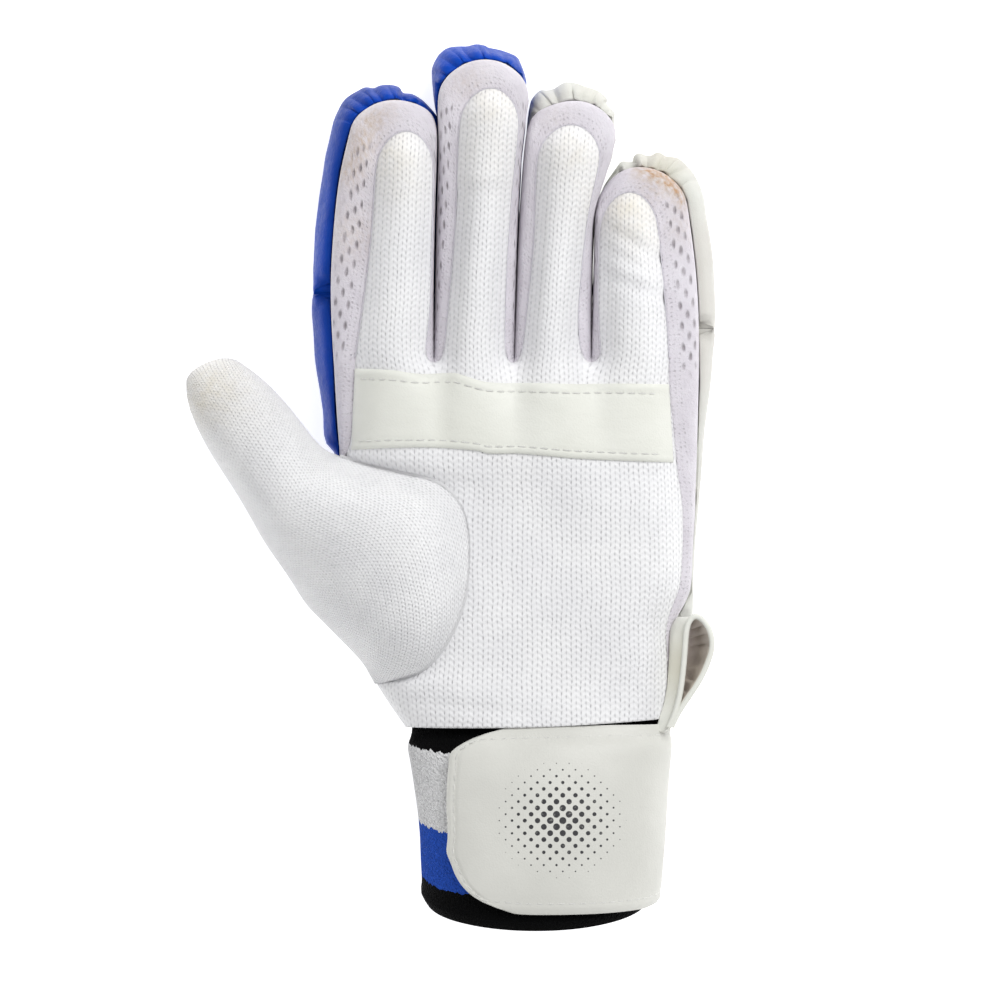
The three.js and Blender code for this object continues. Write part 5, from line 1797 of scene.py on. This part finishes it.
    def finger_outline(self, name: str) -> list[Vector]:
        """Return a finger roll's outline, counter-clockwise.

        Args:
            name: The finger's name.

        Returns:
            The outline.
        """
        finger = self.hand.fingers[name]
        start = finger.pad[0]
        left, right, arc = [], [], []
        for i in range(self.body + 1):
            a, b, y = finger.sides(Line.PAD, lerp(finger.fold, start, i / self.body))
            left.append(Vector((a, y, 0.0)))
            right.append(Vector((b, y, 0.0)))
        table = [(i, *spot) for i, spot in enumerate(((right[-1].x, right[-1].y), *self.tips[name],
                                                      (left[-1].x, left[-1].y)))]
        for i in range(1, self.cap):
            x, y = curve_sample(table, i * (len(table) - 1) / self.cap)[1:]
            arc.append(Vector((x, y, 0.0)))
        return right + arc + left[::-1]

    def hand_outline(self, name: str) -> tuple[list[Vector], list[Vector]]:
        """Return a hand roll's outline and the sheet's edge beside it.

        Args:
            name: The finger's name.

        Returns:
            The outline and the edge.
        """
        rows, finger = self.hand_rolls[name], self.hand.fingers[name]
        top, bottom = finger.fold * finger.length - self.fold_gap, -rows[-1][0] * PALM_LENGTH
        left, right, sheet_left, sheet_right = [], [], [], []
        count = 40
        for i in range(count + 1):
            y = lerp(top, bottom, i / count)
            _, a, b = (value * PALM_WIDTH for value in curve_sample(rows, -y / PALM_LENGTH))
            above = finger.sides(Line.PAD, finger.fold)
            near = 1 - ease(top - y, 0.0, 7.0)
            a, b = lerp(a, above[0], near), lerp(b, above[1], near)
            left.append(Vector((a, y, 0.0)))
            right.append(Vector((b, y, 0.0)))
            sheet_left.append(Vector((self.sheet_edge(y, False) if name == "index" else a - 1, y, 0.0)))
            sheet_right.append(Vector((self.sheet_edge(y, True) if name == "little" else b + 1, y, 0.0)))
        return left + right[::-1], sheet_left + sheet_right[::-1]

    def sheet_edge(self, y: float, on_right: bool) -> float:
        """Return the X of the back sheet's edge at a height.

        Args:
            y: The height in millimetres.
            on_right: Whether it is the right edge.

        Returns:
            The X in millimetres.
        """
        finger = self.hand.fingers["little" if on_right else "index"]
        if y > 0:
            return finger.sides(Line.EDGE, y / finger.length)[1 if on_right else 0]
        first = finger.sides(Line.EDGE, 0.0)[1 if on_right else 0]
        rows = [(0.0, first / PALM_WIDTH)]
        rows += [(row[3], row[6]) if on_right else (row[5], row[4]) for row in PALM_ROWS]
        return sample(rows, -y / PALM_LENGTH)[1] * PALM_WIDTH

    def grow(self, outline: Sequence[Vector], distance: float) -> list[Vector]:
        """Move a counter-clockwise outline outwards.

        Args:
            outline: The outline.
            distance: How far, in millimetres.

        Returns:
            The moved outline.
        """
        count = len(outline)
        moved = []
        for i, point in enumerate(outline):
            ahead = (outline[(i + 1) % count] - outline[i - 1]).normalized()
            moved.append(point + Vector((ahead.y, -ahead.x, 0.0)) * distance)
        return moved

    def nearest(self, outline: Sequence[Vector], spot: Vector) -> Vector:
        """Return the point of a closed outline that is nearest to a spot.

        Args:
            outline: The outline.
            spot: The spot.

        Returns:
            The point.
        """
        best, least = outline[0], 1e9
        for a, b in zip(outline, [*outline[1:], outline[0]]):
            line = b - a
            share = clamp((spot - a).dot(line) / max(line.length_squared, 1e-9))
            point = a + line * share
            if (point - spot).length < least:
                best, least = point, (point - spot).length
        return best

    def seat(self, side: Sequence[Vector], edge: Sequence[Vector],
             ends: set[int]) -> list[tuple[Vector, float]]:
        """Find where the roll's top edge runs and how far its lip rises round the sheet.

        Args:
            side: The roll's side outline.
            edge: The sheet's outline.
            ends: The points at the roll's ends, which have no lip.

        Returns:
            The place and the lip's rise at each point.
        """
        centre = sum(edge, Vector()) / len(edge)
        inner = self.grow(side, -self.round)
        reach = []
        for i, point in enumerate(side):
            close = self.nearest(edge, point)
            out = point - close
            free = out.length if out.dot(point - centre) > 0 and i not in ends else 0.0
            reach.append((close, out.normalized(), free))
        seats = []
        for i, (close, out, free) in enumerate(reach):
            least = min(reach[k % len(reach)][2] for k in (i - 1, i, i + 1))
            lift = self.lip * ease(least, self.lip_from, self.lip_from + 2.5)
            share = ease(free, self.lip_from - 0.5, self.lip_from + 0.5)
            seats.append((inner[i].lerp(close + out * self.lip_gap, share), lift))
        return seats

    def crease_at(self, creases: Table, spot: Vector, ahead: Vector, level: float) -> float:
        """Return how far the coating is drawn in by the creases.

        Args:
            creases: The roll's creases.
            spot: The place on the outline.
            ahead: The outline's direction there.
            level: How far up the roll's side, from 0 at its foot to 6 at the sheet.

        Returns:
            The depth in millimetres.
        """
        depth = 0.0
        for x, y, half, deep, lean in creases:
            reach = (spot + ahead * lean * (level - 3.0) - Vector((x, y, 0.0))).length
            if reach < 5.0:
                sharp = math.exp(-reach / half)
                depth += deep * (0.7 * sharp + 0.3 * math.exp(-((reach / (2.6 * half)) ** 2)))
        return depth * ease(level, 1.6, 3.4)

    def roll(self, name: str, side: list[Vector], edge: list[Vector], ends: set[int], creases: Table,
             material: Material, slot: str, phase: float) -> None:
        """Make one roll from its side outline and the outline of the sheet that lies on it.

        Args:
            name: The piece's name.
            side: The side outline.
            edge: The sheet's outline.
            ends: The points at the roll's ends, which have no lip.
            creases: The creases in the coating.
            material: The coating.
            slot: The coating's name; only coated_white takes the stains.
            phase: Where the roll's swell begins.
        """
        seat = self.seat(side, edge, ends)
        h = ROLL_HEIGHT
        lip = [point for point, _ in seat]
        # from the foot on the floor up to the sheet
        rings = [
            [(p.x, p.y, 0.0) for p in self.grow(side, -self.foot)],
            [(p.x, p.y, h * 0.17) for p in self.grow(side, -self.round)],
            [(p.x, p.y, h * 0.5) for p in side],
            [(*side[i].lerp(lip[i], 0.12).xy, h * 0.86) for i in range(len(side))],
            [(*side[i].lerp(lip[i], 0.5).xy, h * 0.96 + seat[i][1] * 0.8) for i in range(len(side))],
            [(*side[i].lerp(lip[i], 0.98).xy, h + seat[i][1]) for i in range(len(side))],
            [(*lip[i].xy, h) for i in range(len(side))],
        ]
        outward = [(b - a).normalized() for a, b in zip(side, self.grow(side, 1.0))]
        ahead = [Vector((-out.y, out.x, 0.0)) for out in outward]
        count = len(side)

        def spot(column: int, row: int) -> GridPoint:
            """Return a point of the grid and its cloth place."""
            i = column % count
            t = 6 * row / self.levels
            table = [(k, *ring[i]) for k, ring in enumerate(rings)]
            point = Vector(curve_sample(table, t)[1:])
            depth = self.crease_at(creases, side[i], ahead[i], t) if creases else 0.0
            share = ease(t, 2.6, 4.2)
            puff = 0.35 * ease(t, 0.6, 2.0) * ease(4.0 - t, 0.0, 2.0)
            point += outward[i] * (puff - depth * lerp(0.5, 0.35, share))
            point.z = max(0.0, point.z - depth * share * ease(6 - t, 0.0, 0.9))
            return point, (column, row)

        cloth = Cloth(name)
        cloth.grid(count, self.levels, spot)
        cloth.weld(0.005)
        for on_top in (False, True):
            rims = [e for e in cloth.bm.edges if e.is_boundary and (e.verts[0].co.z > h / 2) == on_top]
            bmesh.ops.triangle_fill(cloth.bm, edges=rims, use_beauty=True)
            for rim in rims:
                rim.smooth = on_top
        cloth.face_away(sum(side, Vector()) / count + Vector((0.0, 0.0, h / 2)))
        low = min(v.co.z for v in cloth.bm.verts)
        for vert in cloth.bm.verts:
            if low + 0.6 < vert.co.z:
                swell = noise.noise(vert.co * 0.09 + Vector((phase, 0.0, 0.0)))
                vert.co += vert.normal * 0.35 * swell * ease(vert.co.z, 1.0, 4.0)
        cloth.spots(self.stains if slot == "coated_white" else ())
        piece = cloth.done(material, nodes=[name.replace("_pad_", "_roll_")])

    def build(self, cloths: Cloths) -> None:
        """Make every roll.

        Args:
            cloths: The materials.
        """
        for order, name in enumerate(self.hand.names):
            blue = name in ("index", "middle")
            material, slot = (cloths.blue, "coated_blue") if blue else (cloths.white, "coated_white")
            side = self.finger_outline(name)
            edge = [Vector((p.x, p.y, 0.0)) for p in reversed(self.hand.edges[name])]
            ends = {0, 1, len(side) - 1, len(side) - 2}
            self.roll(f"finger_pad_{name}", side, edge, ends, self.creases[name], material, slot,
                      1.7 * order + 0.4)
            side, edge = self.hand_outline(name)
            half = len(side) // 2
            ends = {0, half - 1, half, len(side) - 1}
            self.roll(f"hand_pad_{name}", side, edge, ends, (), material, slot, 1.1 * order)


@dataclass
class ThumbRolls:
    """The two blue rolls under the thumb, rounded over from their plain forms."""

    def build(self, cloths: Cloths, nodes: dict[str, bpy.types.Object]) -> None:
        """Copy, join and smooth each plain form.

        Args:
            cloths: The materials.
            nodes: The frame's plain nodes by name.
        """
        for order in (1, 2):
            cloth = Cloth(f"thumb_pad_{order}")
            cloth.bm.from_mesh(nodes[f"thumb_roll_{order}"].data)
            cloth.uv = cloth.bm.loops.layers.uv.get("cloth") or cloth.bm.loops.layers.uv.new("cloth")
            for vert in cloth.bm.verts:
                vert.co = vert.co / MM - ORIGIN
            cloth.weld(0.01)
            bmesh.ops.join_triangles(cloth.bm, faces=cloth.bm.faces[:], angle_face_threshold=0.9,
                                     angle_shape_threshold=3.1)
            cloth.refine(3)
            cloth.bm.normal_update()
            for vert in cloth.bm.verts:
                swell = 0.35 * noise.noise(vert.co * 0.12) - 0.8
                vert.co += vert.normal * swell + Vector((-0.5, -0.6, -0.5))
            cloth.spots(())
            cloth.done(cloths.blue, nodes=[f"thumb_roll_{order}"])


@dataclass
class Wrist:
    """The oval that the cuff and the strap follow round the wrist."""

    length: float = 48.2
    depth: float = 45.0
    floor: float = 8.0
    tilt: float = 0.38

    def point(self, angle: float, down: float, offset: float) -> Vector:
        """Return a point of the oval.

        Args:
            angle: Degrees round the wrist: 0 on the right, 90 on the palm's side.
            down: Share of the cuff's length below the palm.
            offset: Millimetres outside the cuff.

        Returns:
            The point in millimetres.
        """
        _, left, right, bottom, top = curve_sample(CUFF_ROWS, down)
        half = (right - left) / 2 * PALM_WIDTH + offset
        high, low = self.floor + top * self.depth, self.floor + bottom * self.depth
        turn = math.radians(angle)
        x = (left + right) / 2 * PALM_WIDTH + half * math.cos(turn)
        z = (high + low) / 2 + ((high - low) / 2 + offset) * math.sin(turn)
        return Vector((x, -PALM_LENGTH - down * self.length, z))


@dataclass
class TowellingCuff:
    """The striped towelling tube at the wrist."""

    wrist: Wrist = field(default_factory=Wrist)
    wall: float = 2.4
    columns: int = 150
    rows: int = 44
    radius: float = 34.0
    height: float = 54.0
    # shares of the cuff's length: the top lies hidden in the glove, and the hem passes the photographed edge
    top: float = -0.09
    hem: float = 1.055

    def build(self, cloths: Cloths) -> None:
        """Make the tube, its rolled hem and its soft waves.

        Args:
            cloths: The materials.
        """
        middle = self.wrist.floor + self.wrist.depth / 2

        def spot(column: int, row: int) -> GridPoint:
            """Return a point of the grid and its cloth place."""
            angle = 360.0 * (column % self.columns) / self.columns
            t = row / self.rows
            share = lerp(self.top, self.hem, t)
            lean = self.wrist.tilt * (self.wrist.point(angle, 1.0, 0.0).z - middle) / self.wrist.length
            down = share + lean * ease(share, self.top, 0.12) * lerp(0.5, 1.0, clamp(share))
            edge = (1 - t) * self.height
            hem = -0.9 * (1 - ease(edge, 0.0, 2.0)) + 0.5 * math.exp(-(((edge - 3.0) / 1.8) ** 2))
            turn = math.radians(angle)
            wave = 0.35 * noise.noise(Vector((math.cos(turn) * 2, math.sin(turn) * 2, share * 3)))
            around = 2 * math.pi * self.radius * column / self.columns
            return self.wrist.point(angle, down, hem + wave), (around, share * self.wrist.length)

        cloth = Cloth("cuff_tube")
        cloth.grid(self.columns, self.rows, spot)
        cloth.weld(0.01)
        cloth.face_away(Vector((7.0, -132.0, middle)))
        cloth.spots(())
        cloth.done(cloths.towelling, wall=self.wall, nodes=["cuff"])


@dataclass
class WristStrap:
    """The coated strap round the cuff, with a rounded free end and a line of stitches inside its edge."""

    wrist: Wrist = field(default_factory=Wrist)
    clearance: float = 0.7
    thickness: float = 2.6
    columns: int = 190
    rows: int = 44
    end: float = -112.0
    inset: float = 3.0
    width: float = 52.0
    radius: float = 31.0
    # the line of stitches: shares of the way round, and stitch points along and across
    near: float = 0.02
    far: float = 0.985
    along: int = 240
    across: int = 160
    # share across, and the X of the free end there
    free_end: Table = (
        (0.00, -2.0), (0.03, -8.7), (0.07, -13.3), (0.12, -16.8), (0.20, -18.0), (0.32, -19.1), (0.43, -19.7),
        (0.60, -20.0), (0.70, -20.6), (0.75, -19.7), (0.84, -17.7), (0.91, -14.2), (0.96, -8.7), (1.00, 0.0),
    )
    # angle, and the top and bottom edges as places down the photographed cuff in millimetres
    edges: Table = (
        (-112.0, 110.2, 155.0), (-60.0, 107.9, 156.5), (-30.0, 106.4, 157.2), (0.0, 105.9, 157.8),
        (15.0, 106.3, 158.7), (30.0, 106.5, 160.0), (60.0, 106.7, 161.2), (90.0, 107.3, 161.5),
        (104.0, 107.6, 161.0), (125.0, 108.4, 159.6), (140.0, 109.2, 157.8),
    )

    def surface(self, turn: float, across: float) -> Vector:
        """Return a point of the strap's outer face.

        Args:
            turn: Share of the way round from the free end.
            across: Share of the way from the top edge to the bottom edge.

        Returns:
            The point in millimetres.
        """
        _, left, right, _, _ = curve_sample(CUFF_ROWS, 0.45)
        middle, half = (left + right) / 2 * PALM_WIDTH, (right - left) / 2 * PALM_WIDTH + 3.3
        free = (curve_sample(self.free_end, across)[1] - middle) / half
        start = math.degrees(math.acos(clamp(free, -1, 1)))
        angle = lerp(start, self.end, turn)
        _, top, bottom = curve_sample(self.edges, angle)
        down = (lerp(top, bottom, across) - PALM_LENGTH) / self.wrist.length
        arc = (start - angle) * math.radians(1) * self.radius
        edge = min(across * self.width, (1 - across) * self.width, arc)
        roll = -0.9 * (1 - ease(edge, -0.3, 1.6)) - 0.28 * math.exp(-(((edge - self.inset) / 0.6) ** 2))
        swell = 0.35 * noise.noise(Vector((angle / 26, across * 2.2, 5.0)))
        return self.wrist.point(angle, down, self.clearance + self.thickness + roll + swell)

    def build(self, cloths: Cloths) -> None:
        """Make the strap and its sewn line.

        Args:
            cloths: The materials.
        """
        def spot(column: int, row: int) -> GridPoint:
            """Return a point of the grid and its cloth place."""
            turn = (column / self.columns) ** 1.15
            point = self.surface(turn, 1 - row / self.rows)
            return point, (point.x if point.z > 30 else point.x + 90, point.y)

        cloth = Cloth("wrist_strap")
        cloth.grid(self.columns, self.rows, spot)
        cloth.face_away(Vector((7.0, -132.0, 30.0)))
        cloth.spots(())
        cloth.done(cloths.strap, wall=self.thickness - 0.5, bevel=0.3, nodes=["strap"])
        top = self.inset / self.width
        steps = [i / self.along for i in range(self.along + 1)]
        line = [(lerp(self.far, self.near, step), top) for step in steps]
        line += [(self.near + 0.0005, lerp(top, 1 - top, i / self.across)) for i in range(1, self.across)]
        line += [(lerp(self.near, self.far, step), 1 - top) for step in steps]
        points = [self.surface(turn, across) for turn, across in line]
        centre = Vector((7.0, 0.0, 30.0))
        ups = [Vector((p.x - centre.x, 0.0, p.z - centre.z)) for p in points]
        Stitching(pitch=3.1, length=2.3).run("strap_stitches", points, ups, cloths.thread)


@dataclass
class SideLoop:
    """The coated pull loop at the right of the wrist: a pleated band bent round, with a padded upper rim."""

    high: float = 39.5
    wall: float = 0.9
    rim: float = 0.85
    columns: int = 150
    rows: int = 14
    length: float = 75.0
    width: float = 18.0
    pleats: float = 92.0
    drift: float = 23.0
    # the glove's origin in the photo, and the millimetres that a pixel stands for
    middle: Pair = (512.0, 357.0)
    pixel: float = 0.29
    # upper rim X and Y, lower rim X and Y, in photo places, and the lower rim's level
    path: Table = (
        (668.5, 727, 656.5, 729, 37.0), (673, 719, 658.5, 720, 37.0), (678, 704, 663.5, 704, 36.5),
        (681.5, 686, 667, 686, 36.0), (684.5, 657, 669, 657, 35.0), (685.5, 640, 669.5, 640, 34.0),
        (686.5, 628, 670.5, 627, 32.0), (689.5, 620, 674.5, 619, 30.0), (694.5, 615.5, 682, 617, 27.0),
        (700.5, 617.5, 687, 622, 25.5), (706, 623, 689, 629, 24.5), (710, 631, 690, 637, 24.2),
        (712.5, 641, 690.5, 644, 24.0), (711.5, 651, 690, 652, 24.0), (708, 662, 688, 662, 24.5),
        (703, 674, 686, 671, 25.5), (696, 686, 683, 682, 27.0), (688.5, 697, 680, 692, 29.0),
        (681, 708, 675, 704, 31.0), (675, 718, 669.5, 717, 33.0), (671.5, 727, 667, 727, 34.0),
    )

    def from_photo(self, x: float, y: float) -> Pair:
        """Turn a place in the photo into millimetres from the glove's origin."""
        return (x - self.middle[0]) * self.pixel, (self.middle[1] - y) * self.pixel

    def build(self, cloths: Cloths) -> None:
        """Make the band and the cord in its upper rim.

        Args:
            cloths: The materials.
        """
        table = [(order, *self.from_photo(ax, ay), *self.from_photo(bx, by), low)
                 for order, (ax, ay, bx, by, low) in enumerate(self.path)]

        def spot(column: int, row: int) -> GridPoint:
            """Return a point of the grid and its cloth place."""
            t = column / self.columns
            _, ax, ay, bx, by, low = curve_sample(table, t * (len(table) - 1))
            share = row / self.rows
            point = Vector((bx, by, low)).lerp(Vector((ax, ay, self.high)), share)
            wave = math.sin(t * self.pleats + 1.4 * math.sin(t * self.drift))
            pleat = 0.5 * wave * ease(t, 0.3, 0.5)
            pleat = (pleat + 1.1 * (1 - ease(t, 0.3, 0.4))) * math.sin(math.pi * share)
            out = Vector((point.x - 50.0, point.y + 84.0, 0.0)).normalized()
            return point + out * pleat, (t * self.length, share * self.width)

        cloth = Cloth("pull_loop_band")
        cloth.grid(self.columns, self.rows, spot)
        cloth.face_away(Vector((52.0, -84.0, 31.0)))
        cloth.spots((Spot(50.0, -90.0, 9.0, 0.6),))
        cloth.done(cloths.ivory, wall=self.wall, nodes=["side_loop"], lining=cloths.backing)
        upper = [place(row[1], row[2], self.high) for row in table]
        cord("pull_loop_rim", upper, self.rim, cloths.ivory)


@dataclass
class Studio:
    """A plain pale floor, soft lights and a camera straight above the palm."""

    centre: Pair = (0.0153, -0.0051)
    width: float = 0.29
    level: float = 0.036
    distance: float = 8.0

    def lamp(self, name: str, spot: Vector, size: float, power: float, tint: str = "#ffffff") -> None:
        """Hang a square soft light that points at the glove.

        Args:
            name: The lamp's name.
            spot: Its place in metres.
            size: Its side in metres.
            power: Its power in watts.
            tint: Its hex colour.
        """
        data = bpy.data.lights.new(name, "AREA")
        data.shape = "SQUARE"
        data.size = size
        data.energy = power
        data.color = colour(tint)[:3]
        lamp = add_object(name, data)
        lamp.location = spot
        lamp.rotation_euler = (Vector((0.0, 0.0, 0.03)) - spot).to_track_quat("-Z", "Y").to_euler()

    def build(self) -> None:
        """Set the camera, the floor and the lights."""
        camera = bpy.data.cameras.new("camera")
        camera.sensor_width = 36.0
        camera.lens = 36.0 * (self.distance - self.level) / self.width
        camera.clip_end = 20.0
        holder = add_object("camera", camera)
        holder.location = (*self.centre, self.distance)
        bpy.context.scene.camera = holder
        bm = bmesh.new()
        bmesh.ops.create_grid(bm, x_segments=1, y_segments=1, size=4.0)
        mesh = bpy.data.meshes.new("studio_floor")
        bm.to_mesh(mesh)
        bm.free()
        floor = add_object("studio_floor", mesh)
        r = Recipe("matt_white_paper")
        shade = r.add("TexNoise", Scale=3.0)
        base = r.ramp(shade, ((0.0, "#e1e1e1"), (1.0, "#e2e2e2")))
        mesh.materials.append(r.finish(base, shade, 0.0001, 0.9,
                                       Emission_Color=(1.0, 1.0, 1.0, 1.0), Emission_Strength=0.8))
        world = bpy.data.worlds.new("studio")
        bpy.context.scene.world = world
        world.use_nodes = True
        back = world.node_tree.nodes["Background"]
        back.inputs["Color"].default_value = (1.0, 1.0, 1.0, 1.0)
        back.inputs["Strength"].default_value = 0.4
        self.lamp("key", Vector((0.9, 1.2, 1.5)), 1.2, 31.0)
        self.lamp("fill", Vector((-1.5, 0.5, 1.6)), 1.4, 6.0)
        self.lamp("low", Vector((0.2, -1.7, 1.3)), 1.2, 8.0)
        bpy.context.scene.view_settings.view_transform = "Standard"


def main() -> None:
    """Load the frame and build every sub-assembly in order; each piece logs its face count."""
    logging.basicConfig(level=logging.INFO, format="%(name)s: %(message)s")
    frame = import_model()
    Studio().build()
    cloths = Cloths()
    hand = Hand()
    palm = KnitPalm(hand).build(cloths)
    KnitThumb(hand).build(cloths)
    NetGussets(hand).build(cloths)
    PalmPatch().build(cloths, palm)
    FoamRolls(hand).build(cloths)
    ThumbRolls().build(cloths, frame["nodes"])
    TowellingCuff().build(cloths)
    WristStrap().build(cloths)
    SideLoop().build(cloths)
    sheet = frame["nodes"]["back_sheet"]
    sheet.material_slots[0].material = cloths.white


if __name__ == "__main__":
    main()
